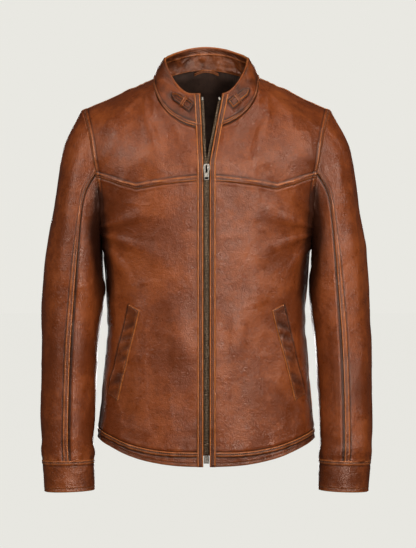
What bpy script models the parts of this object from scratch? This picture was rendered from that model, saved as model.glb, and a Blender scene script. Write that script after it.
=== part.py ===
"""A men's leather riding jacket, worn shape, front zip part open. Metres, +Z up.

The origin is the middle of the neck base. -Y is the front of the jacket and +X the wearer's left.
Seams are drawn as curves in the front plane (x, z) and laid on the torso surface, whose depth y is a
formula of x and z. The sleeves are lofted from the armhole ring to the cuff.
"""

import math

import bmesh
import bpy
from mathutils import Vector

# ---- driving dimensions ----
LEATHER = 0.0012
CLOTH = 0.0007
SEAM_GAP = 0.0006

NECK_HALF = 0.090            # half width of the neck base
NECK_DROP = 0.080            # front neck point below the shoulder neck points
SHOULDER = (0.214, -0.055)   # outer end of the shoulder seam
UNDERARM_Z = -0.270
HEM_CENTRE_Z = -0.661
HEM_SIDE_RISE = 0.045
HEM_FLARE = 0.024            # the hem's half width over the waist's
WAIST_Z = -0.400
WAIST_HALF = 0.168
HEM_BAND_CENTRE = 0.026
HEM_BAND_SIDE = 0.018
CHEST_FRONT = 0.120          # depth in front of the armhole plane
CHEST_BACK = 0.128
FRONT_ROUND_FROM = 0.46      # share of the way up to the shoulder where the front starts to round over
BACK_ROUND_FROM = 0.30
BACK_NECK_RISE = 0.0354
BACK_NECK_SHARE = 0.112
SECTION_POWER = 2.4          # superellipse power of the torso's sections

ARMHOLE_X = 0.198
ARMHOLE_TILT = 0.016
ARMHOLE_HOLLOW = 0.008
ARMHOLE_HALF_DEPTH = 0.065

ZIP_HALF = 0.0054            # leather edge to centre line
PLACKET = 0.0110
PLACKET_LIFT = 0.0026
ZIP_TOP_Z = -0.025
SLIDER_Z = -0.150            # slider centre with the zip part open
ZIP_FOOT_Z = -0.642
YOKE_CENTRE_Z = -0.171
YOKE_POINT = (0.1208, -0.187)
YOKE_ARM_Z = -0.166
BACK_YOKE_Z = -0.150

COLLAR_TOP_HALF = 0.0736
COLLAR_FRONT_Z = -0.025
COLLAR_SIDE_Z = 0.036
COLLAR_BACK_Z = 0.053
COLLAR_SWELL = 0.0015
COLLAR_FACING_DEPTH = 0.0036
COLLAR_STEP_IN = 0.985        # the collar's foot, just inside and above the neckline
COLLAR_STEP_UP = 0.0032
TAB_ENDS = {1: ((0.0725, -0.0180), (0.0410, -0.0425)), -1: ((0.0590, -0.0250), (0.0260, -0.0470))}
TAB_WIDTH = 0.0125
KEEPER_WIDTH = 0.0050
KEEPER_SHARE = 0.38
CUFF_SEAM_Z = -0.655
CUFF_END_Z = -0.709

WELT_TOP = (0.131, -0.384)
WELT_FOOT = (0.1655, -0.541)
WELT_RISE = 0.0018
BAG_MOUTH = 0.140
BAG_REACH = 0.075
BAG_DEPTH = 0.0062
BAG_FULL = 0.0060
TAPE_DEPTH = 0.0024
FACING_DEPTH = 0.0037
FACING_HALF = 0.060
POCKET_ROOM = 0.0075
POCKET_ROOM_TOP = 0.46
LINING_DEPTH = 0.0046

BEAD_X = 0.0020
BEAD_RADIUS = 0.0012
SLIDER_LENGTH = 0.0150
BAIL_GAP = 0.0026
PULL_LENGTH = 0.0200

LEFT, RIGHT = 1, -1
SIDE_NAME = {LEFT: "left", RIGHT: "right"}

for old in list(bpy.data.objects):
    bpy.data.objects.remove(old)
JACKET = bpy.data.collections.new("leather_riding_jacket")
CUTTERS = bpy.data.collections.new("cutters")
bpy.context.scene.collection.children.link(JACKET)
bpy.context.scene.collection.children.link(CUTTERS)
CUTTERS.hide_render = True


# ---- materials ----
def material(name, colour, roughness, metallic=0.0):
    made = bpy.data.materials.new(name)
    made.use_nodes = True
    shader = made.node_tree.nodes["Principled BSDF"]
    shader.inputs["Base Color"].default_value = (*colour, 1.0)
    shader.inputs["Roughness"].default_value = roughness
    shader.inputs["Metallic"].default_value = metallic
    made.diffuse_color = (*colour, 1.0)
    return made


COGNAC = material("cognac_leather", (0.21, 0.055, 0.018), 0.45)
LINING = material("lining_cloth", (0.022, 0.013, 0.010), 0.75)
TAPE = material("zip_tape", (0.040, 0.022, 0.012), 0.85)
BRONZE = material("antique_bronze", (0.16, 0.12, 0.07), 0.38, 1.0)
NICKEL = material("antique_nickel", (0.42, 0.38, 0.32), 0.32, 1.0)


# ---- torso surface ----
def shoulder_line(x):
    """Height of the shoulder at x: level over the neck, then falling straight to the armhole."""
    out = max(0.0, abs(x) - NECK_HALF)
    return SHOULDER[1] * out / (SHOULDER[0] - NECK_HALF)


def back_shoulder_line(x):
    near = max(0.0, 1 - (x / NECK_HALF) ** 2)
    return shoulder_line(x) + BACK_NECK_RISE * near ** 1.25


def waist_half(z):
    """Half width of the torso below the underarm: narrowest at the waist."""
    if z < WAIST_Z:
        return WAIST_HALF + HEM_FLARE * ((WAIST_Z - z) / (WAIST_Z - HEM_CENTRE_Z)) ** 1.4
    underarm_half = ARMHOLE_X - ARMHOLE_TILT
    return WAIST_HALF + (underarm_half - WAIST_HALF) * ((z - WAIST_Z) / (UNDERARM_Z - WAIST_Z)) ** 2


def armhole(angle, side=1):
    """A point of the armhole: 0 at the shoulder, 90 degrees in front, 180 under the arm, 270 behind."""
    x = ARMHOLE_X + ARMHOLE_TILT * math.cos(angle) - ARMHOLE_HOLLOW * math.sin(angle) ** 2
    z = UNDERARM_Z + (shoulder_line(x) - UNDERARM_Z) * (1 + math.cos(angle)) / 2
    return Vector((side * x, -ARMHOLE_HALF_DEPTH * math.sin(angle), z))


def rounding(share, start):
    """1 up to start, then a quarter ellipse down to 0 at share 1."""
    over = min(1.0, max(0.0, (share - start) / (1 - start)))
    return math.sqrt(max(0.0, 1 - over * over)), over


def front_depth(x, share):
    height, over = rounding(share, FRONT_ROUND_FROM)
    hollow = 0.165 * math.sin(math.pi * over) ** 2 * math.exp(-((x / 0.10) ** 2))
    return CHEST_FRONT * height * (1 - hollow)


def back_depth(x, z, share):
    height, _ = rounding(share, BACK_ROUND_FROM)
    waist = 0.018 * math.exp(-(((z + 0.43) / 0.11) ** 2))
    return (CHEST_BACK - waist) * height


def torso(x, z, behind=False):
    """The point of the torso's outer surface over (x, z), in front or behind."""
    line = back_shoulder_line(x) if behind else shoulder_line(x)
    share = min(1.0, max(0.0, (z - UNDERARM_Z) / (line - UNDERARM_Z)))
    depth = back_depth(x, z, share) if behind else front_depth(x, share)
    if z <= UNDERARM_Z:
        half = waist_half(z)
    else:
        ring = armhole(math.acos(2 * share - 1))
        ring_depth = back_depth(ring.x, z, share) if behind else front_depth(ring.x, share)
        ratio = min(0.9, abs(ring.y) / max(ring_depth, 1e-6)) if share < 0.9999 else 0.55
        half = ring.x / (1 - ratio ** SECTION_POWER) ** (1 / SECTION_POWER)
    fall = max(0.0, 1 - (abs(x) / half) ** SECTION_POWER)
    y = depth * fall ** (1 / SECTION_POWER)
    return Vector((x, y if behind else -y, z))


def inset(place, u, v, distance):
    """The point of a surface place(u, v) moved along its inward side by distance."""
    step = 1e-4
    u0, u1 = (u, u + step) if u < 0.5 else (u - step, u)
    v0, v1 = (v, v + step) if v < 0.5 else (v - step, v)
    along = place(u1, v) - place(u0, v)
    up = place(u, v1) - place(u, v0)
    normal = along.cross(up)
    if normal.length < 1e-16:
        return place(u, v)
    return place(u, v) - normal.normalized() * distance


# ---- seams in the front plane ----
def mix(a, b, share):
    return a + (b - a) * share


def zip_edge(z, side):
    """Distance of the leather's front edge from the centre line: straight, then open above the slider."""
    above = max(0.0, z - (SLIDER_Z + 0.010))
    spread = 0.19 if side == LEFT else 0.045
    return ZIP_HALF + spread * above


def hem_z(x):
    return HEM_CENTRE_Z + HEM_SIDE_RISE * (abs(x) / 0.19) ** 2.6


def hem_seam_z(x):
    return hem_z(x) + mix(HEM_BAND_CENTRE, HEM_BAND_SIDE, min(1.0, abs(x) / 0.19))


def yoke_z(x):
    """The western yoke's seam: from the centre down to a point, then up to the armhole."""
    x = abs(x)
    if x < YOKE_POINT[0]:
        return mix(YOKE_CENTRE_Z, YOKE_POINT[1], (x / YOKE_POINT[0]) ** 1.6)
    return mix(YOKE_POINT[1], YOKE_ARM_Z, (x - YOKE_POINT[0]) / (0.190 - YOKE_POINT[0]))


def neckline(turn, behind=False):
    """A point (x, z) of the neck seam: turn 0 at its middle, a quarter turn at the shoulder seam."""
    x = NECK_HALF * math.sin(turn)
    if not behind:
        return x, -NECK_DROP * math.cos(turn)
    share = 1 - BACK_NECK_SHARE * math.cos(turn) ** 2.2
    return x, UNDERARM_Z + (back_shoulder_line(x) - UNDERARM_Z) * share


def armhole_angle_at(z):
    """The angle, from the shoulder, at which the armhole passes height z."""
    low, high = 0.0, math.pi
    for _ in range(40):
        middle = (low + high) / 2
        if armhole(middle).z > z:
            low = middle
        else:
            high = middle
    return (low + high) / 2


def sine_share(u, end_angle):
    return math.sin(end_angle * u) / math.sin(end_angle)


# ---- building helpers ----
def add(obj, skin, collection=JACKET):
    collection.objects.link(obj)
    obj.data.materials.append(skin)
    return obj


def sheet(name, columns, rows, place, thickness, skin, depth=0.0, flip=False, loop=False):
    """A grid laid on place(u, v) and thickened inward. loop joins its two u ends into a tube."""
    grid = bmesh.new()
    bmesh.ops.create_grid(grid, x_segments=columns, y_segments=rows, size=0.5)
    sign = -1 if flip else 1
    for vert in grid.verts:
        u, v = vert.co.x + 0.5, vert.co.y + 0.5
        inward = depth(u, v) if callable(depth) else depth
        vert.co = inset(place, u, v, sign * inward) if inward else place(u, v)
    if flip:
        bmesh.ops.reverse_faces(grid, faces=grid.faces)
    if loop:
        bmesh.ops.remove_doubles(grid, verts=grid.verts, dist=1e-5)
    mesh = bpy.data.meshes.new(name)
    grid.to_mesh(mesh)
    grid.free()
    mesh.shade_smooth()
    made = add(bpy.data.objects.new(name, mesh), skin)
    shell = made.modifiers.new("thickness", "SOLIDIFY")
    shell.thickness = thickness
    shell.offset = -1
    return made


def rod(name, points, radius, skin, sides=8):
    """A round bar along points, made a mesh with welded caps."""
    curve = bpy.data.curves.new(name, "CURVE")
    curve.dimensions = "3D"
    curve.bevel_depth = radius
    curve.bevel_resolution = max(0, sides // 2 - 2)
    curve.use_fill_caps = True
    spline = curve.splines.new("POLY")
    spline.points.add(len(points) - 1)
    for point, place in zip(spline.points, points):
        point.co = (*place, 1.0)
    return add(bpy.data.objects.new(name, curve), skin)


def block(name, low, high, skin, collection=JACKET, round_by=0.0):
    shape = bmesh.new()
    bmesh.ops.create_cube(shape, size=1.0)
    low, high = Vector(low), Vector(high)
    for vert in shape.verts:
        vert.co = Vector((vert.co[i] * (high[i] - low[i]) + (low[i] + high[i]) / 2 for i in range(3)))
    mesh = bpy.data.meshes.new(name)
    shape.to_mesh(mesh)
    shape.free()
    made = add(bpy.data.objects.new(name, mesh), skin, collection)
    if round_by:
        edge = made.modifiers.new("edges", "BEVEL")
        edge.width = round_by
        edge.segments = 2
    return made


def pivot_at(name, place):
    """An empty on a joint's axis, which the moving pieces are parented to."""
    pivot = bpy.data.objects.new(name, None)
    pivot.location = place
    JACKET.objects.link(pivot)
    return pivot


def hang_on(pivot, *pieces):
    """Parents the pieces to the pivot and leaves them where they are."""
    for piece in pieces:
        piece.parent = pivot
        piece.location -= pivot.location


def boolean(target, cutter, operation):
    cutter.hide_render = True
    cutter.display_type = "WIRE"
    change = target.modifiers.new(operation.lower(), "BOOLEAN")
    change.operation = operation
    change.object = cutter


# ---- torso panels ----
GAP = SEAM_GAP / 2
YOKE_ANGLE = armhole_angle_at(YOKE_ARM_Z)
BACK_YOKE_ANGLE = armhole_angle_at(BACK_YOKE_Z)
SEAM_TURN = 0.006            # turn along the armhole that leaves a seam's gap
NECK_PART = 0.42             # share of an upper panel's columns that end on the neckline


def to_the_side(share, start, line):
    """(x, z) where a line z = line(x) is share of the way round from start to the side seam."""
    x = mix(start, WAIST_HALF, share)
    for _ in range(8):
        z = line(x)
        x = start + (waist_half(z) - start) * math.sin(math.pi / 2 * share)
    return x, z


def lower_place(side, inner, low_line, high_line, behind=False):
    """Between two lines below the underarm, u from the inner edge to the side seam, or across the back."""
    def place(u, v):
        across = 2 * u - 1 if behind else u
        start = 0.0 if behind else inner(HEM_CENTRE_Z)
        x, z = to_the_side(abs(across), start, lambda x: mix(low_line(x), high_line(x), v))
        return torso(math.copysign(x, across) if behind else side * x, z, behind)
    return place


def underarm_line(_):
    return UNDERARM_Z


def chest_place(side, inner, high_line, end_angle, behind=False):
    """Underarm level up to a seam that meets the armhole at end_angle."""
    def place(u, v):
        across = 2 * u - 1 if behind else u
        ring = armhole(mix(math.pi, end_angle, v))
        rise = (ring.z - UNDERARM_Z) / (armhole(end_angle).z - UNDERARM_Z)
        bend = mix(math.pi / 2, 1.0, v)
        start = 0.0 if behind else inner(ring.z)
        outer = mix(ring.x, ring.x - SEAM_GAP, min(1.0, 4 * v))
        x = start + (outer - start) * sine_share(abs(across), bend)
        z = mix(UNDERARM_Z, high_line(x), rise)
        return torso(math.copysign(x, across) if behind else side * x, z, behind)
    return place


def stacked(low, high, split):
    """One panel from two that share an edge: low up to the share split of v, high above it."""
    def place(u, v):
        if v <= split:
            return low(u, v / split)
        return high(u, (v - split) / (1 - split))
    return place


def shoulder_place(side, inner, low_line, start_angle, behind=False):
    """A seam up to the neckline and the shoulder seam. u ends at the armhole, on both sides behind."""
    end_angle = 0.0

    def place(u, v):
        across = 2 * u - 1 if behind else u
        part = abs(across)
        angle = mix(start_angle, end_angle, v)
        ring = armhole(angle)
        low, high = armhole(start_angle), armhole(end_angle)
        rise = (ring.z - low.z) / (high.z - low.z)
        if part < NECK_PART:
            low_turn = 0.0 if behind else math.asin(inner(-NECK_DROP) / NECK_HALF)
            turn = mix(low_turn, math.pi / 2, part / NECK_PART)
            top_x, top_z = neckline(turn, behind)
            top_z -= GAP * math.cos(turn)
        else:
            top_x = mix(NECK_HALF, high.x - SEAM_GAP, (part - NECK_PART) / (1 - NECK_PART))
            top_z = shoulder_line(top_x)
        start = 0.0 if behind else inner(low.z)
        low_x = start + (low.x - SEAM_GAP - start) * sine_share(part, 1.0)
        x = mix(low_x, top_x, rise) + part ** 3 * (ring.x - mix(low.x, high.x, rise))
        z = mix(low_line(low_x), top_z, rise)
        if not behind:
            x = max(x, inner(z)) if part > 0 else inner(z)
        return torso(math.copysign(x, across) if behind else side * x, z, behind)
    return place


def keep_off_seams(panel, behind, gap=SEAM_GAP):
    """Keeps the points by the side and shoulder seams, which lie at y = 0, on their own side of them."""
    sign = 1 if behind else -1
    for vert in panel.data.vertices:
        if sign * vert.co.y < gap:
            vert.co.y = sign * gap


def build_torso():
    for side in (LEFT, RIGHT):
        name, flip = SIDE_NAME[side], side == RIGHT

        def edge(z, side=side):
            return zip_edge(z, side)

        low = lower_place(side, edge, lambda x: hem_seam_z(x) + GAP, underarm_line)
        chest = chest_place(side, edge, lambda x: yoke_z(x) - GAP, YOKE_ANGLE + SEAM_TURN)
        panel = sheet(f"front_panel_{name}", 9, 12, stacked(low, chest, 0.5), LEATHER, COGNAC, flip=flip)
        cut_pocket_slit(panel, side)
        top = shoulder_place(side, edge, lambda x: yoke_z(x) + GAP, YOKE_ANGLE - SEAM_TURN)
        yoke = sheet(f"front_yoke_{name}", 9, 8, top, LEATHER, COGNAC, flip=flip)
        band = lower_place(side, edge, hem_z, lambda x: hem_seam_z(x) - GAP)
        hem = sheet(f"hem_band_{name}", 9, 1, band, LEATHER, COGNAC, flip=flip)
        for made in (panel, yoke, hem):
            keep_off_seams(made, behind=False)
    low = lower_place(LEFT, None, lambda x: hem_seam_z(x) + GAP, underarm_line, behind=True)
    chest = chest_place(LEFT, None, lambda x: BACK_YOKE_Z - GAP, BACK_YOKE_ANGLE + SEAM_TURN, behind=True)
    back = sheet("back_panel", 14, 12, stacked(low, chest, 0.5), LEATHER, COGNAC, flip=True)
    top = shoulder_place(LEFT, None, lambda x: BACK_YOKE_Z + GAP, BACK_YOKE_ANGLE - SEAM_TURN, behind=True)
    yoke = sheet("back_yoke", 14, 6, top, LEATHER, COGNAC, flip=True)
    band = lower_place(LEFT, None, hem_z, lambda x: hem_seam_z(x) - GAP, behind=True)
    hem = sheet("hem_band_back", 14, 1, band, LEATHER, COGNAC, flip=True)
    for made in (back, yoke, hem):
        keep_off_seams(made, behind=True)


# ---- pockets ----
def on_front(x, z, depth, side):
    """A point depth below the front's surface over (x, z), above it where depth is negative."""
    step = 1e-4
    here = torso(x, z)
    normal = (torso(x + step, z) - here).cross(torso(x, z + step) - here).normalized()
    inward = here - normal * depth
    return Vector((side * inward.x, inward.y, inward.z))


def welt_corner(across, along):
    """Front-plane point of the slanted welt: across 0 at its outer, open edge, along 0 at its top."""
    top = Vector(WELT_TOP) - Vector((0.0195, 0.0095)) * across
    foot = Vector(WELT_FOOT) - Vector((0.0145, 0.0105)) * across
    return top.lerp(foot, along)


def build_pockets():
    for side in (LEFT, RIGHT):
        def welt_place(u, v, side=side):
            spot = welt_corner(1 - u, 1 - v)
            return on_front(*spot, -WELT_RISE, side)

        def bag_place(u, v, side=side):
            turn = 2 * math.pi * u
            close = math.cos(math.pi / 2 * min(v, 0.999)) ** 0.5
            middle = welt_corner(0.35, mix(0.5, 0.54, v)) - Vector((BAG_REACH * v, 0.0))
            slant = (welt_corner(0.35, 0.0) - welt_corner(0.35, 1.0)).normalized()
            spot = middle + slant * (BAG_MOUTH / 2 * math.cos(turn) * close)
            return on_front(*spot, BAG_DEPTH - BAG_FULL / 2 * math.sin(turn) * close, side)

        name = SIDE_NAME[side]
        sheet(f"pocket_welt_{name}", 2, 6, welt_place, LEATHER, COGNAC, flip=side == RIGHT)
        sheet(f"pocket_bag_{name}", 12, 5, bag_place, CLOTH, LINING, flip=side == RIGHT, loop=True)


def cut_pocket_slit(panel, side):
    """The slit that the hand goes through, behind the welt."""
    top, foot = welt_corner(0.35, 0.07), welt_corner(0.35, 0.93)
    length = (top - foot).length
    cutter = block(f"slit_{SIDE_NAME[side]}", (-0.002, -0.03, -length / 2), (0.002, 0.03, length / 2),
                   COGNAC, CUTTERS)
    middle = (top + foot) / 2
    cutter.location = (side * middle.x, torso(*middle).y, middle.y)
    cutter.rotation_euler = (0, side * math.atan2(top.x - foot.x, top.y - foot.y), 0)
    boolean(panel, cutter, "DIFFERENCE")


# ---- collar ----
def collar_top(turn):
    """The collar's upper edge: turn 0 in front, half a turn behind."""
    round_front = min(1.0, max(0.0, (abs(turn) - 0.35) / (math.pi / 2 - 0.35)))
    rise = round_front ** 2 * (3 - 2 * round_front)
    z = COLLAR_FRONT_Z + (COLLAR_SIDE_Z - COLLAR_FRONT_Z) * rise
    if abs(turn) > math.pi / 2:
        z += (COLLAR_BACK_Z - COLLAR_SIDE_Z) * math.sin(abs(turn) - math.pi / 2) ** 2
    return Vector((COLLAR_TOP_HALF * math.sin(turn), -0.008 - 0.072 * math.cos(turn), z))


def collar_base(turn):
    behind = abs(turn) > math.pi / 2
    quarter = math.pi - abs(turn) if behind else abs(turn)
    x, z = neckline(quarter, behind)
    point = torso(x, z, behind)
    return Vector((math.copysign(x, turn) * COLLAR_STEP_IN, point.y * COLLAR_STEP_IN, z + COLLAR_STEP_UP))


COLLAR_LEFT = (math.asin(zip_edge(-NECK_DROP, LEFT) / NECK_HALF),
               math.asin(zip_edge(COLLAR_FRONT_Z, LEFT) / COLLAR_TOP_HALF))
COLLAR_RIGHT = (math.asin(zip_edge(-NECK_DROP, RIGHT) / NECK_HALF),
                math.asin(zip_edge(COLLAR_FRONT_Z, RIGHT) / COLLAR_TOP_HALF))


def wrapped(turn):
    return turn if turn < math.pi else turn - 2 * math.pi


def collar_place(u, v):
    """A point of the collar: u from the left front edge round the back to the right one, v upward."""
    base = mix(COLLAR_LEFT[0], 2 * math.pi - COLLAR_RIGHT[0], u)
    top = mix(COLLAR_LEFT[1], 2 * math.pi - COLLAR_RIGHT[1], u)
    middle = collar_base(wrapped(base)).lerp(collar_top(wrapped(top)), v)
    swell = COLLAR_SWELL * 4 * v * (1 - v)
    turn = mix(base, top, v)
    return middle + Vector((math.sin(turn), -math.cos(turn), 0)) * swell


def collar_at(x, z):
    """(u, v) of the collar's point over (x, z) of the front plane."""
    side = LEFT if x > 0 else RIGHT
    u, v = (0.1 if side == LEFT else 0.9), 0.5
    for _ in range(30):
        here = collar_place(u, v)
        step = 1e-3
        du = (collar_place(u + step, v) - here) / step
        dv = (collar_place(u, v + step) - here) / step
        size = du.x * dv.z - du.z * dv.x
        miss_x, miss_z = x - here.x, z - here.z
        u += 0.7 * (miss_x * dv.z - miss_z * dv.x) / size
        v += 0.7 * (du.x * miss_z - du.z * miss_x) / size
    return u, v


def on_collar(x, z, lift):
    return inset(collar_place, *collar_at(x, z), -lift)


def build_collar():
    sheet("collar_outer", 30, 3, collar_place, LEATHER, COGNAC)
    sheet("collar_facing", 30, 3, collar_place, LEATHER, COGNAC, depth=COLLAR_FACING_DEPTH)
    for side in (LEFT, RIGHT):
        name, flip = SIDE_NAME[side], side == RIGHT
        far, near = TAB_ENDS[side]

        def tab_place(u, v, far=far, near=near, side=side):
            middle = Vector(near).lerp(Vector(far), u)
            along = (Vector(far) - Vector(near)).normalized()
            across = Vector((-along.y, along.x)) * side
            spot = middle + across * (TAB_WIDTH * (v - 0.5))
            return on_collar(side * spot.x, spot.y, 0.0019)

        def keeper_place(u, v, far=far, near=near, side=side):
            along = (Vector(far) - Vector(near)).normalized()
            across = Vector((-along.y, along.x)) * side
            middle = Vector(near).lerp(Vector(far), KEEPER_SHARE)
            spot = middle + along * (KEEPER_WIDTH * (u - 0.5)) + across * ((TAB_WIDTH + 0.005) * (v - 0.5))
            lift = 0.0017 + 0.0022 * min(1.0, 12 * v * (1 - v))
            return on_collar(side * spot.x, spot.y, lift)

        sheet(f"collar_tab_{name}", 5, 2, tab_place, LEATHER, COGNAC, flip=flip)
        sheet(f"collar_keeper_{name}", 1, 6, keeper_place, 0.0010, COGNAC, flip=flip)

    def loop_place(u, v):
        """A strip that stands forward of the back neck, its ends at the neck seam."""
        arch = math.sin(math.pi * u)
        x = mix(-0.021, 0.021, u)
        y = torso(0, neckline(0, True)[1], True).y - 0.0102 - 0.0105 * arch
        z = mix(0.0005, 0.0055, v) + 0.009 * arch
        return Vector((x, y, z))

    sheet("hanger_loop", 10, 1, loop_place, 0.0014, COGNAC)


# ---- sleeves ----
# Each ring: outer edge (x, z), inner edge (x, z), half depth, forward bend.
SLEEVE_RINGS = (
    ((0.2146, -0.0560), (0.1830, -0.2712), 0.065, 0.000),
    ((0.2400, -0.1030), (0.1822, -0.2900), 0.067, 0.000),
    ((0.2520, -0.1500), (0.1812, -0.3080), 0.069, 0.000),
    ((0.2640, -0.2280), (0.1795, -0.3360), 0.071, 0.001),
    ((0.2780, -0.3280), (0.1777, -0.3850), 0.070, 0.004),
    ((0.2835, -0.4660), (0.1880, -0.4780), 0.062, 0.013),
    ((0.2840, -0.6040), (0.1945, -0.6020), 0.050, 0.030),
    ((0.2825, CUFF_SEAM_Z), (0.1940, CUFF_SEAM_Z + 0.002), 0.045, 0.036),
    ((0.2790, CUFF_END_Z), (0.1930, CUFF_END_Z + 0.003), 0.042, 0.041),
)
CUFF_SHARE = 7 / 8


def smooth_between(rows, share):
    """Catmull-Rom curve through equally spaced rows of numbers."""
    last = len(rows) - 1
    spot = min(max(share, 0.0), 1.0) * last
    k = min(int(spot), last - 1)
    t = spot - k
    before, here, after, beyond = (rows[min(max(i, 0), last)] for i in (k - 1, k, k + 1, k + 2))
    return [b + 0.5 * t * (c - a + t * (2 * a - 5 * b + 4 * c - d + t * (3 * (b - c) + d - a)))
            for a, b, c, d in zip(before, here, after, beyond)]


def sleeve(share, angle, side=1):
    """A point of the sleeve: share 0 at the armhole, 1 at the cuff's end; angle as in armhole()."""
    rows = [(*outer, *inner, depth, bend) for outer, inner, depth, bend in SLEEVE_RINGS]
    outer_x, outer_z, inner_x, inner_z, depth, bend = smooth_between(rows, share)
    x = (outer_x + inner_x) / 2 + (outer_x - inner_x) / 2 * math.cos(angle)
    z = (outer_z + inner_z) / 2 + (outer_z - inner_z) / 2 * math.cos(angle)
    point = Vector((x, -depth * math.sin(angle) - bend, z))
    near = max(0.0, 1 - share / 0.12) ** 2
    if near:
        x0 = (SLEEVE_RINGS[0][0][0] + SLEEVE_RINGS[0][1][0]) / 2
        x0 += (SLEEVE_RINGS[0][0][0] - SLEEVE_RINGS[0][1][0]) / 2 * math.cos(angle)
        z0 = (SLEEVE_RINGS[0][0][1] + SLEEVE_RINGS[0][1][1]) / 2
        z0 += (SLEEVE_RINGS[0][0][1] - SLEEVE_RINGS[0][1][1]) / 2 * math.cos(angle)
        ring = armhole(angle) + Vector((SEAM_GAP, 0, -SEAM_GAP * (1 - math.cos(angle)) / 2))
        point += (ring - Vector((x0, -ARMHOLE_HALF_DEPTH * math.sin(angle), z0))) * near
    return Vector((side * point.x, point.y, point.z))


FRONT_SEAM = math.radians(92)
BACK_SEAM = math.radians(250)


def build_sleeves():
    for side in (LEFT, RIGHT):
        name, flip = SIDE_NAME[side], side == RIGHT
        turn = 0.012

        def top_place(u, v, side=side):
            angle = mix(BACK_SEAM - 2 * math.pi + turn, FRONT_SEAM - turn, u)
            return sleeve(v * (CUFF_SHARE - 0.001), angle, side)

        def under_place(u, v, side=side):
            return sleeve(v * (CUFF_SHARE - 0.001), mix(FRONT_SEAM + turn, BACK_SEAM - turn, u), side)

        def cuff_place(u, v, side=side):
            return sleeve(mix(CUFF_SHARE + 0.001, 1, v), 2 * math.pi * u, side)

        def lining_place(u, v, side=side):
            return sleeve(mix(0.03, CUFF_SHARE - 0.004, v), 2 * math.pi * u, side)

        pivot = pivot_at(f"sleeve_{name}_pivot", (side * SHOULDER[0], 0, SHOULDER[1]))
        top = sheet(f"sleeve_top_{name}", 9, 12, top_place, LEATHER, COGNAC, flip=flip)
        under = sheet(f"sleeve_under_{name}", 7, 12, under_place, LEATHER, COGNAC, flip=flip)
        cuff = sheet(f"cuff_{name}", 16, 1, cuff_place, LEATHER, COGNAC, flip=flip, loop=True)
        lining = sheet(f"lining_sleeve_{name}", 12, 9, lining_place, CLOTH, LINING, depth=0.0032, flip=flip,
                       loop=True)
        hang_on(pivot, top, under, cuff, lining)


# ---- lining and facings ----
def build_lining():
    def inner(_):
        return FACING_HALF + 0.001

    def pocket_room(u, v):
        """Deeper behind the pocket bag, which lies between the leather and the lining."""
        up = math.sin(math.pi * v / POCKET_ROOM_TOP) ** 0.5 if v < POCKET_ROOM_TOP else 0.0
        to_side = min(1.0, max(0.0, (0.92 - u) / 0.25))
        return LINING_DEPTH + POCKET_ROOM * up * min(1.0, 0.5 + 8 * u) * to_side ** 2 * (3 - 2 * to_side)

    for side in (LEFT, RIGHT):
        flip = side == RIGHT
        low = lower_place(side, inner, hem_seam_z, underarm_line)
        high = shoulder_place(side, inner, underarm_line, math.pi)
        made = sheet(f"lining_front_{SIDE_NAME[side]}", 7, 12, stacked(low, high, 0.5), CLOTH, LINING,
                     depth=pocket_room, flip=flip)
        keep_off_seams(made, behind=False, gap=0.001)
    low = lower_place(LEFT, None, hem_seam_z, underarm_line, behind=True)
    high = shoulder_place(LEFT, None, underarm_line, math.pi, behind=True)
    made = sheet("lining_back", 12, 12, stacked(low, high, 0.5), CLOTH, LINING, depth=LINING_DEPTH, flip=True)
    keep_off_seams(made, behind=True, gap=0.001)


def front_strip(x, z, side):
    """The front's surface near the opening: torso up to the neck seam, then the collar."""
    neck_z = -NECK_DROP * math.sqrt(max(0.0, 1 - (x / NECK_HALF) ** 2))
    if z <= neck_z:
        return torso(side * x, z)
    point = collar_place(*collar_at(side * x, max(z, neck_z + 0.001)))
    return Vector((side * x, point.y, z))


def strip_place(side, near, far, low, high):
    """A strip of the front along its edge, from near to far of the edge."""
    def place(u, v):
        straight = 0.3
        if v < straight:
            z = mix(low, SLIDER_Z, v / straight)
        else:
            z = mix(SLIDER_Z, high, (v - straight) / (1 - straight))
        return front_strip(zip_edge(z, side) + mix(near, far, u), z, side)
    return place


def build_front_edges():
    for side in (LEFT, RIGHT):
        name, flip = SIDE_NAME[side], side == RIGHT
        placket = strip_place(side, 0.0, PLACKET, HEM_CENTRE_Z, COLLAR_FRONT_Z - 0.002)
        sheet(f"placket_{name}", 1, 14, placket, LEATHER, COGNAC, depth=-PLACKET_LIFT, flip=flip)
        tape = strip_place(side, -0.0017, 0.0090, ZIP_FOOT_Z + 0.001, ZIP_TOP_Z - 0.006)
        sheet(f"zip_tape_{name}", 1, 14, tape, CLOTH, TAPE, depth=TAPE_DEPTH, flip=flip)
        facing = strip_place(side, 0.0016, FACING_HALF - ZIP_HALF - 0.012, HEM_CENTRE_Z + 0.004,
                             -NECK_DROP - 0.008)
        sheet(f"front_facing_{name}", 3, 12, facing, LEATHER, COGNAC, depth=FACING_DEPTH, flip=flip)


# ---- zip ----
FRONT_Y = -CHEST_FRONT


def bead_point(z, side):
    point = front_strip(zip_edge(z, side), z, side)
    x = zip_edge(z, side) - ZIP_HALF + BEAD_X
    return Vector((side * x, point.y + 0.0010, z))


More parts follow.
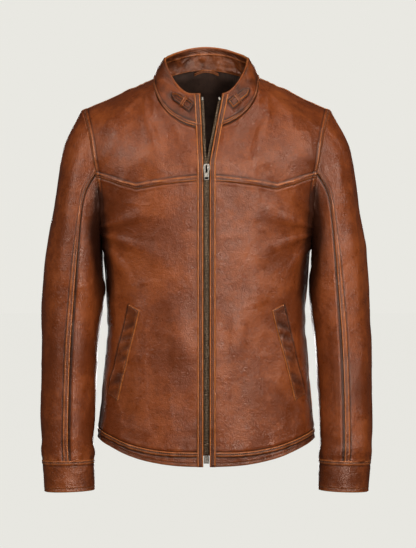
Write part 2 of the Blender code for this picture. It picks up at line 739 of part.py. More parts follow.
def build_zip():
    for side in (LEFT, RIGHT):
        name = SIDE_NAME[side]
        foot = ZIP_FOOT_Z + (0.022 if side == LEFT else 0.001)
        top = ZIP_TOP_Z - 0.010
        heights = [foot, SLIDER_Z] + [mix(SLIDER_Z + 0.010, top, k / 10) for k in range(11)]
        rod(f"zip_teeth_{name}", [bead_point(z, side) for z in heights], BEAD_RADIUS, BRONZE, sides=8)
        stop = bead_point(top, side) + Vector((0, 0, 0.0006))
        half = Vector((0.0015, 0.0013, 0))
        high = stop + half + Vector((0, 0, 0.0048))
        block(f"zip_top_stop_{name}", stop - half, high, NICKEL, round_by=0.0004)
    pin_top = ZIP_FOOT_Z + 0.0214
    pin = [Vector((BEAD_X, FRONT_Y + 0.0010, z)) for z in (pin_top, ZIP_FOOT_Z - 0.008)]
    rod("zip_insertion_pin", pin, BEAD_RADIUS * 0.8, NICKEL, sides=10)
    box_low = (-0.0046, FRONT_Y - 0.0008, ZIP_FOOT_Z - 0.013)
    box = block("zip_retainer_box", box_low, (0.0046, FRONT_Y + 0.0028, ZIP_FOOT_Z), NICKEL, round_by=0.0004)
    bore = block("retainer_bore", (BEAD_X - 0.0014, FRONT_Y - 0.0004, ZIP_FOOT_Z - 0.009),
                 (BEAD_X + 0.0014, FRONT_Y + 0.0024, ZIP_FOOT_Z + 0.002), NICKEL, CUTTERS)
    boolean(box, bore, "DIFFERENCE")
    build_slider()


def build_slider():
    """Two plates on a post between the teeth rows, and a bail that the pull hangs on."""
    plate_y = FRONT_Y - PLACKET_LIFT - 0.0005
    half = SLIDER_LENGTH / 2
    low, high = SLIDER_Z - half, SLIDER_Z + half
    body = block("zip_slider", (-0.0058, plate_y - 0.0012, low), (0.0058, plate_y, high), NICKEL,
                 round_by=0.0003)
    post = block("slider_post", (-0.0005, plate_y - 0.0006, SLIDER_Z),
                 (0.0005, FRONT_Y + 0.0044, high - 0.002), NICKEL, CUTTERS)
    back = block("slider_back", (-0.0050, FRONT_Y + 0.0039, low), (0.0050, FRONT_Y + 0.0049, high),
                 NICKEL, CUTTERS)
    boolean(body, post, "UNION")
    boolean(body, back, "UNION")
    bail_y = plate_y - 0.0012 - BAIL_GAP - 0.0007
    uprights = ((high - 0.0040, high - 0.0026), (SLIDER_Z - 0.0030, SLIDER_Z - 0.0016))
    for k, (foot, head) in enumerate(uprights):
        leg = block(f"bail_leg_{k}", (-0.0007, bail_y, foot), (0.0007, plate_y - 0.0006, head),
                    NICKEL, CUTTERS)
        boolean(body, leg, "UNION")
    bridge = block("bail_bridge", (-0.0007, bail_y - 0.0007, uprights[1][0]),
                   (0.0007, bail_y + 0.0007, uprights[0][1]), NICKEL, CUTTERS)
    boolean(body, bridge, "UNION")

    hinge = Vector((0, plate_y - 0.0012 - BAIL_GAP / 2, SLIDER_Z - 0.0003))
    pull = tab_with_windows("zip_pull", NICKEL)
    pull.location = hinge
    hang_on(pivot_at("zip_slider_pivot", (0, FRONT_Y, SLIDER_Z)), body, pull)


def tab_with_windows(name, skin):
    """The pull: a flat tab, its origin on the hinge bar, with a window for the bail and a finger slot."""
    curve = bpy.data.curves.new(name, "CURVE")
    curve.dimensions = "2D"
    curve.fill_mode = "BOTH"
    curve.extrude = 0.0006

    def loop(points):
        spline = curve.splines.new("POLY")
        spline.points.add(len(points) - 1)
        spline.use_cyclic_u = True
        for spot, (x, y) in zip(spline.points, points):
            spot.co = (x, y, 0, 1)

    def rounded(left, right, low, high, corner, steps=3):
        centres = ((right - corner, high - corner, 0), (left + corner, high - corner, 1),
                   (left + corner, low + corner, 2), (right - corner, low + corner, 3))
        return [(cx + corner * math.cos((q + k / steps) * math.pi / 2),
                 cy + corner * math.sin((q + k / steps) * math.pi / 2))
                for cx, cy, q in centres for k in range(steps + 1)]

    loop(rounded(-0.0046, 0.0046, -PULL_LENGTH, 0.0007, 0.0012))
    loop(rounded(-0.0015, 0.0015, -0.0066, -0.0007, 0.0004)[::-1])
    loop(rounded(-0.0031, 0.0031, -PULL_LENGTH + 0.0016, -PULL_LENGTH + 0.0042, 0.0011)[::-1])
    made = add(bpy.data.objects.new(name, curve), skin)
    made.rotation_euler = (math.pi / 2, 0, 0)
    return made


build_torso()
build_pockets()
build_collar()
build_sleeves()
build_lining()
build_front_edges()
build_zip()
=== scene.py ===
"""The leather riding jacket's looks: every panel, seam, stitch and zip part over the frame's plain solids.

Metres, in the frame's axes: the origin is the middle of the neck base, -Y the front, +X the wearer's left.
Each panel is a fine grid laid on the same surface formulas as the frame's solid, then raised and sunk
along its normals: seam ridges, stitch channels, folds and puckers. Two values go with each point of it:
"rest", where it lay before any pose, which the patterns follow, and a value that is 1 on a burnished
ridge and -1 in a groove, and lower still where shade is painted: round the collar's tabs, along the
pockets' welts and where sleeve and body meet below the armhole.
"""

import math

import bpy
import numpy as np
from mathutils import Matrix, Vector


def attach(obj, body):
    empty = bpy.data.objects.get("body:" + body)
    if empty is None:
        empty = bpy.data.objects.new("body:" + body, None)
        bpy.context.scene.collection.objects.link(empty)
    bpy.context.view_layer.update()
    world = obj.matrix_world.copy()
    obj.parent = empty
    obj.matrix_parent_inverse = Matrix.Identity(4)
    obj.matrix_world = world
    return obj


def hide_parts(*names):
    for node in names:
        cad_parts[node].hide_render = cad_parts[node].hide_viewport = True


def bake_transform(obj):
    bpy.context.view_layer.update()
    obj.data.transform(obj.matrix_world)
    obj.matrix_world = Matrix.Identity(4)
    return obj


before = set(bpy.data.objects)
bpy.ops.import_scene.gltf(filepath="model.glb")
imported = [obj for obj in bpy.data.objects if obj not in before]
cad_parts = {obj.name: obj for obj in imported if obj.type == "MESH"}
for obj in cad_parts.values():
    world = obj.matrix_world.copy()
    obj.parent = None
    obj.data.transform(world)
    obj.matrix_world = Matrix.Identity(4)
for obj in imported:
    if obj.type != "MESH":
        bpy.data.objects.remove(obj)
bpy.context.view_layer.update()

# ---- driving dimensions, the frame's own ----
LEATHER = 0.0012
CLOTH = 0.0007
SEAM_GAP = 0.0006
NECK_HALF = 0.090
NECK_DROP = 0.080
SHOULDER = (0.214, -0.055)
UNDERARM_Z = -0.270
HEM_CENTRE_Z = -0.661
HEM_SIDE_RISE = 0.045
HEM_FLARE = 0.024
WAIST_Z = -0.400
WAIST_HALF = 0.168
HEM_BAND_CENTRE = 0.026
HEM_BAND_SIDE = 0.018
CHEST_FRONT = 0.120
CHEST_BACK = 0.128
FRONT_ROUND_FROM = 0.46
BACK_ROUND_FROM = 0.30
BACK_NECK_RISE = 0.0354
BACK_NECK_SHARE = 0.112
SECTION_POWER = 2.4
ARMHOLE_X = 0.198
ARMHOLE_TILT = 0.016
ARMHOLE_HOLLOW = 0.008
ARMHOLE_HALF_DEPTH = 0.065
ZIP_HALF = 0.0054
PLACKET = 0.0110
PLACKET_LIFT = 0.0026
ZIP_TOP_Z = -0.025
SLIDER_Z = -0.150
ZIP_FOOT_Z = -0.642
YOKE_CENTRE_Z = -0.171
YOKE_POINT = (0.1208, -0.187)
YOKE_ARM_Z = -0.166
BACK_YOKE_Z = -0.150
COLLAR_TOP_HALF = 0.0736
COLLAR_FRONT_Z = -0.025
COLLAR_SIDE_Z = 0.036
COLLAR_BACK_Z = 0.053
COLLAR_SWELL = 0.0015
COLLAR_FACING_DEPTH = 0.0036
COLLAR_STEP_IN = 0.985
COLLAR_STEP_UP = 0.0032
TAB_ENDS = {1: ((0.0725, -0.0180), (0.0410, -0.0425)), -1: ((0.0590, -0.0250), (0.0260, -0.0470))}
TAB_WIDTH = 0.0125
KEEPER_WIDTH = 0.0050
KEEPER_SHARE = 0.38
CUFF_SEAM_Z = -0.655
CUFF_END_Z = -0.709
CUFF_SHARE = 7 / 8
WELT_TOP = (0.131, -0.384)
WELT_FOOT = (0.1655, -0.541)
WELT_RISE = 0.0018
BAG_MOUTH = 0.140
BAG_REACH = 0.075
BAG_DEPTH = 0.0062
BAG_FULL = 0.0060
TAPE_DEPTH = 0.0024
FACING_DEPTH = 0.0037
FACING_HALF = 0.060
POCKET_ROOM = 0.0075
POCKET_ROOM_TOP = 0.46
LINING_DEPTH = 0.0046
LINING_RISE = 0.0160         # how far the lining's looks run up behind the collar's facing at the back
LINING_SHARE = 0.36          # and how much of the collar's height the facing gives up there
BEAD_X = 0.0020
SLIDER_LENGTH = 0.0150
BAIL_GAP = 0.0026
PULL_LENGTH = 0.0200
SEAM_TURN = 0.006
NECK_PART = 0.42
FRONT_SEAM = math.radians(92)
BACK_SEAM = math.radians(250)
ARMHOLE_LEAN = 0.1465        # the armhole's plane leans in at the top by this angle
FRONT_Y = -CHEST_FRONT
GAP = SEAM_GAP / 2

# ---- dimensions of the looks ----
LAP = 0.0072                 # a topstitched seam allowance: from the edge to the second ridge
TUCK = 0.0036                # how far an edge goes under its neighbour
STITCH_PITCH = 0.0036
STITCH_LENGTH = 0.0025
STITCH_RADIUS = 0.00034
STITCH_LIFT = 0.0001
NARROW_LAP = 0.0064          # the same allowance round the armholes
BAND_LAP = 0.0060            # and along the hem band and cuffs
COLLAR_LAP = 0.0058          # and round the neck
HEM_STITCH = 0.0058          # from the hem's edge to its stitches
EDGE_STITCH = 0.0062         # the same at the cuff's end and the collar's top
PANEL_ROWS = 220             # rows of the front and back panels' grids, half of them below the underarm
TOOTH_PITCH = 0.0026
FRAME_HEIGHT = 0.943         # what the camera's frame spans, at the jacket

LEFT, RIGHT = 1, -1
SIDE_NAME = {LEFT: "left", RIGHT: "right"}


# ---- small helpers ----
def mix(a, b, share):
    return a + (b - a) * share


def smooth(value, low, high):
    share = np.clip((value - low) / (high - low), 0, 1)
    return share * share * (3 - 2 * share)


def bell(value, middle, width):
    return np.exp(-(((value - middle) / width) ** 2))


def bells(value, *terms):
    """The sum of some bells over value, each (height, middle, width)."""
    return sum(height * bell(value, middle, width) for height, middle, width in terms)


def unit(vectors):
    return vectors / np.linalg.norm(vectors, axis=-1, keepdims=True)


def stack(x, y, z):
    return np.stack(np.broadcast_arrays(x, y, z), axis=-1).astype(float)


def noise(points, size, seed):
    """Smooth bumps about size across, from -1 to 1, at points (..., 3)."""
    spot = points / size + 11.7 * seed
    cell = np.floor(spot).astype(np.int64)
    part = spot - cell
    part = part ** 3 * (part * (part * 6 - 15) + 10)
    total = 0.0
    for corner in np.ndindex(2, 2, 2):
        at = cell + np.array(corner)
        code = (at[..., 0] * 73856093) ^ (at[..., 1] * 19349663) ^ (at[..., 2] * 83492791)
        code = (code ^ (seed * 40503)) & 0x7FFFFFFF
        code = ((code ^ (code >> 13)) * 1274126177) & 0x7FFFFFFF
        value = ((code ^ (code >> 15)) & 0xFFFF) / 32767.5 - 1
        total = total + value * np.where(np.array(corner) == 1, part, 1 - part).prod(axis=-1)
    return total


# ---- torso surface, on arrays ----
def shoulder_line(x):
    out = np.maximum(0.0, np.abs(x) - NECK_HALF)
    return SHOULDER[1] * out / (SHOULDER[0] - NECK_HALF)


def back_shoulder_line(x):
    near = np.maximum(0.0, 1 - (x / NECK_HALF) ** 2)
    return shoulder_line(x) + BACK_NECK_RISE * near ** 1.25


def waist_half(z):
    below = np.clip((WAIST_Z - z) / (WAIST_Z - HEM_CENTRE_Z), 0, None)
    above = np.clip((z - WAIST_Z) / (UNDERARM_Z - WAIST_Z), 0, None)
    return WAIST_HALF + HEM_FLARE * below ** 1.4 + (ARMHOLE_X - ARMHOLE_TILT - WAIST_HALF) * above ** 2


def armhole(angle):
    """Points of the left armhole: 0 at the shoulder, a quarter turn in front, half a turn under the arm."""
    x = ARMHOLE_X + ARMHOLE_TILT * np.cos(angle) - ARMHOLE_HOLLOW * np.sin(angle) ** 2
    z = UNDERARM_Z + (shoulder_line(x) - UNDERARM_Z) * (1 + np.cos(angle)) / 2
    return stack(x, -ARMHOLE_HALF_DEPTH * np.sin(angle), z)


def rounding(share, start):
    over = np.clip((share - start) / (1 - start), 0, 1)
    return np.sqrt(np.maximum(0.0, 1 - over * over)), over


def front_depth(x, share):
    height, over = rounding(share, FRONT_ROUND_FROM)
    return CHEST_FRONT * height * (1 - 0.165 * np.sin(np.pi * over) ** 2 * bell(x, 0, 0.10))


def back_depth(x, z, share):
    height, _ = rounding(share, BACK_ROUND_FROM)
    return (CHEST_BACK - 0.018 * bell(z, -0.43, 0.11)) * height


def torso(x, z, behind=False):
    x, z = np.broadcast_arrays(np.asarray(x, float), np.asarray(z, float))
    line = back_shoulder_line(x) if behind else shoulder_line(x)
    share = np.clip((z - UNDERARM_Z) / (line - UNDERARM_Z), 0, 1)
    ring = armhole(np.arccos(2 * share - 1))
    if behind:
        depth, ring_depth = back_depth(x, z, share), back_depth(ring[..., 0], z, share)
    else:
        depth, ring_depth = front_depth(x, share), front_depth(ring[..., 0], share)
    ratio = np.minimum(0.9, np.abs(ring[..., 1]) / np.maximum(ring_depth, 1e-6))
    ratio = np.where(share < 0.9999, ratio, 0.55)
    above = ring[..., 0] / (1 - ratio ** SECTION_POWER) ** (1 / SECTION_POWER)
    half = np.where(z <= UNDERARM_Z, waist_half(z), above)
    y = depth * np.maximum(0.0, 1 - (np.abs(x) / half) ** SECTION_POWER) ** (1 / SECTION_POWER)
    return stack(x, y if behind else -y, z)


# ---- seams in the front plane ----
def zip_edge(z, side):
    spread = 0.19 if side == LEFT else 0.045
    return ZIP_HALF + spread * np.maximum(0.0, z - (SLIDER_Z + 0.010))


def underarm(x):
    return UNDERARM_Z + 0 * x


def hem_z(x):
    return HEM_CENTRE_Z + HEM_SIDE_RISE * (np.abs(x) / 0.19) ** 2.6


def hem_seam_z(x):
    return hem_z(x) + mix(HEM_BAND_CENTRE, HEM_BAND_SIDE, np.minimum(1.0, np.abs(x) / 0.19))


def yoke_z(x):
    x = np.abs(x)
    inner = mix(YOKE_CENTRE_Z, YOKE_POINT[1], (x / YOKE_POINT[0]) ** 1.6)
    outer = mix(YOKE_POINT[1], YOKE_ARM_Z, (x - YOKE_POINT[0]) / (0.190 - YOKE_POINT[0]))
    return np.where(x < YOKE_POINT[0], inner, outer)


def neckline(turn, behind):
    x = NECK_HALF * np.sin(turn)
    cosine = np.maximum(np.cos(turn), 0.0)
    share = 1 - BACK_NECK_SHARE * cosine ** 2.2
    back = UNDERARM_Z + (back_shoulder_line(x) - UNDERARM_Z) * share
    return x, np.where(behind, back, -NECK_DROP * cosine)


def armhole_angle_at(z):
    angles = np.linspace(0, math.pi, 2001)
    return float(np.interp(-z, -armhole(angles)[:, 2], angles))


YOKE_ANGLE = armhole_angle_at(YOKE_ARM_Z)
BACK_YOKE_ANGLE = armhole_angle_at(BACK_YOKE_Z)


def sine_share(u, end_angle):
    return np.sin(end_angle * u) / np.sin(end_angle)


# ---- torso panels as surfaces of u and v ----
def lower_place(side, inner, low_line, high_line, behind=False):
    def place(u, v):
        across = 2 * u - 1 if behind else u
        part = np.abs(across)
        start = 0.0 if behind else inner(HEM_CENTRE_Z)
        x = mix(start, WAIST_HALF, part)
        for _ in range(8):
            z = mix(low_line(x), high_line(x), v)
            x = start + (waist_half(z) - start) * np.sin(np.pi / 2 * part)
        return torso(np.copysign(x, across) if behind else side * x, z, behind)
    return place


def chest_place(side, inner, high_line, end_angle, behind=False):
    def place(u, v):
        across = 2 * u - 1 if behind else u
        ring = armhole(mix(math.pi, end_angle, v))
        rise = (ring[..., 2] - UNDERARM_Z) / (armhole(end_angle)[2] - UNDERARM_Z)
        start = 0.0 if behind else inner(ring[..., 2])
        outer = ring[..., 0] - SEAM_GAP * np.minimum(1.0, 4 * v)
        x = start + (outer - start) * sine_share(np.abs(across), mix(np.pi / 2, 1.0, v))
        z = mix(UNDERARM_Z, high_line(x), rise)
        return torso(np.copysign(x, across) if behind else side * x, z, behind)
    return place


def stacked(low, high, split):
    def place(u, v):
        lower = low(u, np.minimum(v / split, 1.0))
        upper = high(u, np.maximum((v - split) / (1 - split), 0.0))
        return np.where((v <= split)[..., None], lower, upper)
    return place


def shoulder_place(side, inner, low_line, start_angle, behind=False):
    low, high = armhole(start_angle), armhole(0.0)

    def place(u, v):
        across = 2 * u - 1 if behind else u
        part = np.abs(across)
        ring = armhole(mix(start_angle, 0.0, v))
        rise = (ring[..., 2] - low[2]) / (high[2] - low[2])
        low_turn = 0.0 if behind else math.asin(inner(-NECK_DROP) / NECK_HALF)
        turn = mix(low_turn, np.pi / 2, np.minimum(1.0, part / NECK_PART))
        neck_x, neck_z = neckline(turn, behind)
        arm_x = mix(NECK_HALF, high[0] - SEAM_GAP, (part - NECK_PART) / (1 - NECK_PART))
        top_x = np.where(part < NECK_PART, neck_x, arm_x)
        top_z = np.where(part < NECK_PART, neck_z - GAP * np.cos(turn), shoulder_line(top_x))
        start = 0.0 if behind else inner(low[2])
        low_x = start + (low[0] - SEAM_GAP - start) * sine_share(part, 1.0)
        x = mix(low_x, top_x, rise) + part ** 3 * (ring[..., 0] - mix(low[0], high[0], rise))
        z = mix(low_line(low_x), top_z, rise)
        if not behind:
            x = np.maximum(x, inner(z))
        return torso(np.copysign(x, across) if behind else side * x, z, behind)
    return place


# ---- collar ----
def collar_top(turn):
    rise = smooth(np.abs(turn), 0.35, np.pi / 2)
    z = COLLAR_FRONT_Z + (COLLAR_SIDE_Z - COLLAR_FRONT_Z) * rise
    past = np.maximum(0.0, np.abs(turn) - np.pi / 2)
    z = z + (COLLAR_BACK_Z - COLLAR_SIDE_Z) * np.sin(past) ** 2
    return stack(COLLAR_TOP_HALF * np.sin(turn), -0.008 - 0.072 * np.cos(turn), z)


def collar_base(turn):
    behind = np.abs(turn) > np.pi / 2
    quarter = np.where(behind, np.pi - np.abs(turn), np.abs(turn))
    x, z = neckline(quarter, behind)
    y = np.where(behind, torso(x, z, True)[..., 1], torso(x, z)[..., 1])
    return stack(np.copysign(x, turn) * COLLAR_STEP_IN, y * COLLAR_STEP_IN, z + COLLAR_STEP_UP)


def front_turns(side):
    return (math.asin(zip_edge(-NECK_DROP, side) / NECK_HALF),
            math.asin(zip_edge(COLLAR_FRONT_Z, side) / COLLAR_TOP_HALF))


COLLAR_LEFT, COLLAR_RIGHT = front_turns(LEFT), front_turns(RIGHT)


def wrapped(turn):
    return np.where(turn < np.pi, turn, turn - 2 * np.pi)


def collar_place(u, v):
    base = mix(COLLAR_LEFT[0], 2 * np.pi - COLLAR_RIGHT[0], u)
    top = mix(COLLAR_LEFT[1], 2 * np.pi - COLLAR_RIGHT[1], u)
    point = mix(collar_base(wrapped(base)), collar_top(wrapped(top)), np.asarray(v)[..., None])
    facing = mix(base, top, v)
    swell = COLLAR_SWELL * 4 * v * (1 - v)
    return point + stack(np.sin(facing), -np.cos(facing), 0 * facing) * swell[..., None]


def collar_at(x, z):
    """(u, v) of the collar's points over (x, z) of the front plane."""
    u, v = np.where(x > 0, 0.1, 0.9), np.full(np.shape(x), 0.5)
    step = 1e-3
    for _ in range(30):
        here = collar_place(u, v)
        du = (collar_place(u + step, v) - here) / step
        dv = (collar_place(u, v + step) - here) / step
        size = du[..., 0] * dv[..., 2] - du[..., 2] * dv[..., 0]
        miss_x, miss_z = x - here[..., 0], z - here[..., 2]
        u = u + 0.7 * (miss_x * dv[..., 2] - miss_z * dv[..., 0]) / size
        v = v + 0.7 * (du[..., 0] * miss_z - du[..., 2] * miss_x) / size
    return u, v


def on_collar(x, z, lift):
    u, v = collar_at(x, z)
    step = 1e-3
    here = collar_place(u, v)
    normal = np.cross(collar_place(u + step, v) - here, collar_place(u, v + step) - here)
    return here + unit(normal) * np.asarray(lift)[..., None]


def on_front(x, z, lift, side):
    step = 1e-4
    here = torso(x, z)
    normal = np.cross(torso(x + step, z) - here, torso(x, z + step) - here)
    return (here + unit(normal) * np.asarray(lift)[..., None]) * np.array([side, 1, 1])


def front_strip(x, z, side):
    """The front by the opening: torso up to the neck seam, then the collar."""
    neck_z = -NECK_DROP * np.sqrt(np.maximum(0.0, 1 - (x / NECK_HALF) ** 2))
    low = torso(side * x, z)
    high = collar_place(*collar_at(side * x, np.maximum(z, neck_z + 0.001)))
    y = np.where(z <= neck_z, low[..., 1], high[..., 1])
    return stack(side * x, y, z)


def strip_place(side, near, far, low, high):
    def place(u, v):
        z = np.where(v < 0.3, mix(low, SLIDER_Z, v / 0.3), mix(SLIDER_Z, high, (v - 0.3) / 0.7))
        return front_strip(zip_edge(z, side) + mix(near, far, u), z, side)
    return place


# ---- sleeves ----
# Each ring: outer edge (x, z), inner edge (x, z), half depth, forward bend.
SLEEVE_RINGS = (
    ((0.2146, -0.0560), (0.1830, -0.2712), 0.065, 0.000),
    ((0.2400, -0.1030), (0.1822, -0.2900), 0.067, 0.000),
    ((0.2520, -0.1500), (0.1812, -0.3080), 0.069, 0.000),
    ((0.2640, -0.2280), (0.1795, -0.3360), 0.071, 0.001),
    ((0.2780, -0.3280), (0.1777, -0.3850), 0.070, 0.004),
    ((0.2835, -0.4660), (0.1880, -0.4780), 0.062, 0.013),
    ((0.2840, -0.6040), (0.1945, -0.6020), 0.050, 0.030),
    ((0.2825, CUFF_SEAM_Z), (0.1940, CUFF_SEAM_Z + 0.002), 0.045, 0.036),
    ((0.2790, CUFF_END_Z), (0.1930, CUFF_END_Z + 0.003), 0.042, 0.041),
)
SLEEVE_ROWS = np.array([(*outer, *inner, depth, bend) for outer, inner, depth, bend in SLEEVE_RINGS])


def sleeve(share, angle, side):
    """Points of the sleeve: share 0 at the armhole, 1 at the cuff's end."""
    last = len(SLEEVE_ROWS) - 1
    spot = np.clip(share, 0, 1) * last
    k = np.minimum(spot.astype(int), last - 1)
    t = (spot - k)[..., None]
    a, b, c, d = (SLEEVE_ROWS[np.clip(k + i, 0, last)] for i in (-1, 0, 1, 2))
    row = b + 0.5 * t * (c - a + t * (2 * a - 5 * b + 4 * c - d + t * (3 * (b - c) + d - a)))
    outer_x, outer_z, inner_x, inner_z, depth, bend = np.moveaxis(row, -1, 0)
    x = mix(inner_x, outer_x, (1 + np.cos(angle)) / 2)
    z = mix(inner_z, outer_z, (1 + np.cos(angle)) / 2)
    point = stack(x, -depth * np.sin(angle) - bend, z)
    first = SLEEVE_ROWS[0]
    start = stack(mix(first[2], first[0], (1 + np.cos(angle)) / 2), -ARMHOLE_HALF_DEPTH * np.sin(angle),
                  mix(first[3], first[1], (1 + np.cos(angle)) / 2))
    ring = armhole(angle) + stack(SEAM_GAP, 0, -SEAM_GAP * (1 - np.cos(angle)) / 2)
    point = point + (ring - start) * (np.maximum(0.0, 1 - share / 0.12) ** 2)[..., None]
    return point * np.array([side, 1, 1])


def tucked_sleeve(share, angle, side):
    """The sleeve, starting TUCK inside the armhole, under the body's edge."""
    inside = np.clip(-share / 0.008, 0, 1)[..., None]
    point = sleeve(np.maximum(share, 0.0), angle, side)
    inward = np.array([-side * math.cos(ARMHOLE_LEAN), 0, math.sin(ARMHOLE_LEAN)]) * (2 * TUCK)
    centre = np.array([side * 0.198, 0, -0.163])
    return point + inside * (inward + (centre - point) * 0.03)


# ---- a panel: its grid, edge distances, relief and stitches ----
class Panel:
    """A grid of points with its normals and each point's distance from the panel's four edges."""

    def __init__(self, place, columns, rows, depth=0.0, flip=False, loop=False):
        u, v = np.meshgrid(np.linspace(0, 1, columns + 1), np.linspace(0, 1, rows + 1))
        self.u, self.v, self.loop, self.flip = u, v, loop, flip
        self.points = place(u, v)
        self.measure()
        if callable(depth) or depth:
            inward = depth(u, v) if callable(depth) else np.full(u.shape, depth)
            self.points = self.points - self.normals * inward[..., None]
            self.measure()
        self.base = self.points.copy()
        self.wear_and_shade = np.zeros(u.shape)

    def measure(self):
        along = np.gradient(self.points, axis=1)
        if self.loop:
            ends = (self.points[:, 1] - self.points[:, -2]) / 2
            along[:, 0], along[:, -1] = ends, ends
        up = np.gradient(self.points, axis=0)
        normal = np.cross(along, up) * (-1 if self.flip else 1)
        self.normals = normal / np.maximum(np.linalg.norm(normal, axis=-1, keepdims=True), 1e-12)
        self.up = up / np.maximum(np.linalg.norm(up, axis=-1, keepdims=True), 1e-12)
        across = np.linalg.norm(np.diff(self.points, axis=1), axis=-1)
        rise = np.linalg.norm(np.diff(self.points, axis=0), axis=-1)
        near = np.pad(np.cumsum(across, axis=1), ((0, 0), (1, 0)))
        low = np.pad(np.cumsum(rise, axis=0), ((1, 0), (0, 0)))
        self.edge = {"near": near, "far": near[:, -1:] - near, "low": low, "high": low[-1:] - low}
        self.area = float((across[:-1] * (rise[:, :-1] + rise[:, 1:]) / 2).sum())

    def raise_by(self, height, wear_and_shade=0.0):
        self.points = self.points + self.normals * height[..., None]
        self.wear_and_shade = self.wear_and_shade + wear_and_shade

    def line(self, edge, distance):
        """Points and normals along the line at that distance from an edge."""
        far = self.edge[edge]
        rows = edge in ("low", "high")
        far = far.T if rows else far
        points = np.swapaxes(self.points, 0, 1) if rows else self.points
        normals = np.swapaxes(self.normals, 0, 1) if rows else self.normals
        if edge in ("high", "far"):
            far, points, normals = far[:, ::-1], points[:, ::-1], normals[:, ::-1]
        found = []
        for gone, track, faces in zip(far, points, normals):
            if gone[-1] <= distance:
                continue
            spot = np.interp(distance, gone, np.arange(len(gone)))
            k = min(int(spot), len(gone) - 2)
            found.append(np.concatenate([mix(track[k], track[k + 1], spot - k), faces[k]]))
        return np.array(found)


def lap_relief(d, width=LAP):
    """(height, wear) of a topstitched edge on top: its fold, a channel, a soft bulge, a second ridge."""
    bulge = width * 0.58
    height = 0.0010 * smooth(d, -0.0006, 0.0009) * (1 - smooth(d, width - 0.0004, width + 0.0022))
    height = height + bells(d, (0.0005, 0.0010, 0.0009), (-0.0006, 0.0026, 0.0007), (0.0003, bulge, 0.0016),
                            (0.0006, width + 0.0001, 0.0009), (-0.0006, width - 0.0016, 0.0006),
                            (-0.0004, width + 0.0026, 0.0014))
    wear_and_shade = bells(d, (1.05, 0.0008, 0.0011), (0.9, width, 0.0010), (0.12, bulge, 0.0015),
                 (-0.8, 0.0029, 0.0008), (-0.5, width - 0.0019, 0.0007), (-0.65, width + 0.0030, 0.0017))
    return height, wear_and_shade


def tuck_relief(d):
    """(height, wear) of an edge that goes TUCK under its neighbour."""
    out = d - TUCK
    height = 0.0004 * bell(out, 0.0042, 0.0018) - 0.0013 * (1 - smooth(out, -0.0010, 0.0018))
    return height, 0.12 * bell(out, 0.0042, 0.0016) - 0.75 * (1 - smooth(out, -0.0002, 0.0022))


def hem_relief(d, width=HEM_STITCH):
    """(height, wear) of a finished edge: rolled over, with one row of stitches."""
    height = bells(d, (-0.0012, 0, 0.0007), (0.0004, 0.0016, 0.0012), (-0.0006, width, 0.0006),
                   (0.0003, width + 0.0018, 0.0011))
    return height, bells(d, (1.0, 0.0006, 0.0012), (-0.5, width, 0.0007), (0.3, width + 0.0016, 0.0009))


def pucker(panel, edge, reach, size, height, seed):
    """Small gathers that run out from an edge, where its stitches pull the leather in."""
    run = panel.edge["low" if edge in ("near", "far") else "near"]
    spot = stack(run / size, panel.edge[edge] / (size * 3.2), float(seed))
    ripple = noise(spot, 1.0, seed) + 0.5 * noise(panel.base, size * 1.7, seed + 3)
    fall = np.exp(-panel.edge[edge] / reach) * smooth(panel.edge[edge], 0.0, 0.003)
    panel.raise_by(height * ripple * fall, 0.35 * ripple * fall)


# ---- folds ----
def fan(x, z, centre, count, reach, seed):
    """Folds that spread from a point, deepest at reach from it."""
    dx, dz = x - centre[0], z - centre[1]
    radius = np.hypot(dx, dz)
    angle = np.arctan2(dz, dx)
    warp = 0.8 * noise(stack(x, 0 * x, z), 0.07, seed)
    fall = (radius / reach) * np.exp(1 - radius / reach)
    return np.sin(count * angle + warp * 2.4 + seed) * fall ** 1.5


def shallow(folds):
    """Folds whose valleys are less deep than their ridges are high, as leather over a body has."""
    return np.where(folds > 0, folds, 0.35 * folds)


def crumple(points, seed):
    """Uneven, well worn leather: soft swells with finer dents on them."""
    soft = noise(points * np.array([1.25, 1, 0.8]), 0.052, seed)
    fine = noise(points, 0.021, seed + 1)
    dents = noise(points, 0.0095, seed + 2)
    crease = 1 - np.abs(noise(points * np.array([1, 1, 0.7]), 0.030, seed + 4))
    return 0.0011 * soft + 0.00032 * fine + 0.00008 * dents + 0.00050 * crease ** 5


def torso_folds(points, behind):
    x, z = np.abs(points[..., 0]), points[..., 2]
    from_side = smooth(0.19 - x, 0.0, 0.03)
    folds = 0.0017 * fan(x, z, (0.205, -0.262), 11, 0.060, 5 if behind else 2) * smooth(x, 0.03, 0.12)
    folds = folds + 0.0022 * fan(x, z, (0.105, -0.020), 8, 0.085, 8) * smooth(z, -0.30, -0.10)
    drape = noise(points * np.array([1, 0.4, 0.34]), 0.034, 15 if behind else 12)
    folds = folds + 0.0036 * drape * smooth(-z, 0.22, 0.40) * (0.30 + 0.70 * from_side)
    waist = noise(points * np.array([0.42, 0.4, 1.5]), 0.030, 21)
    waist = waist * bell(z, -0.44, 0.11) * smooth(x, 0.07, 0.16)
    return shallow(folds + 0.0018 * waist)


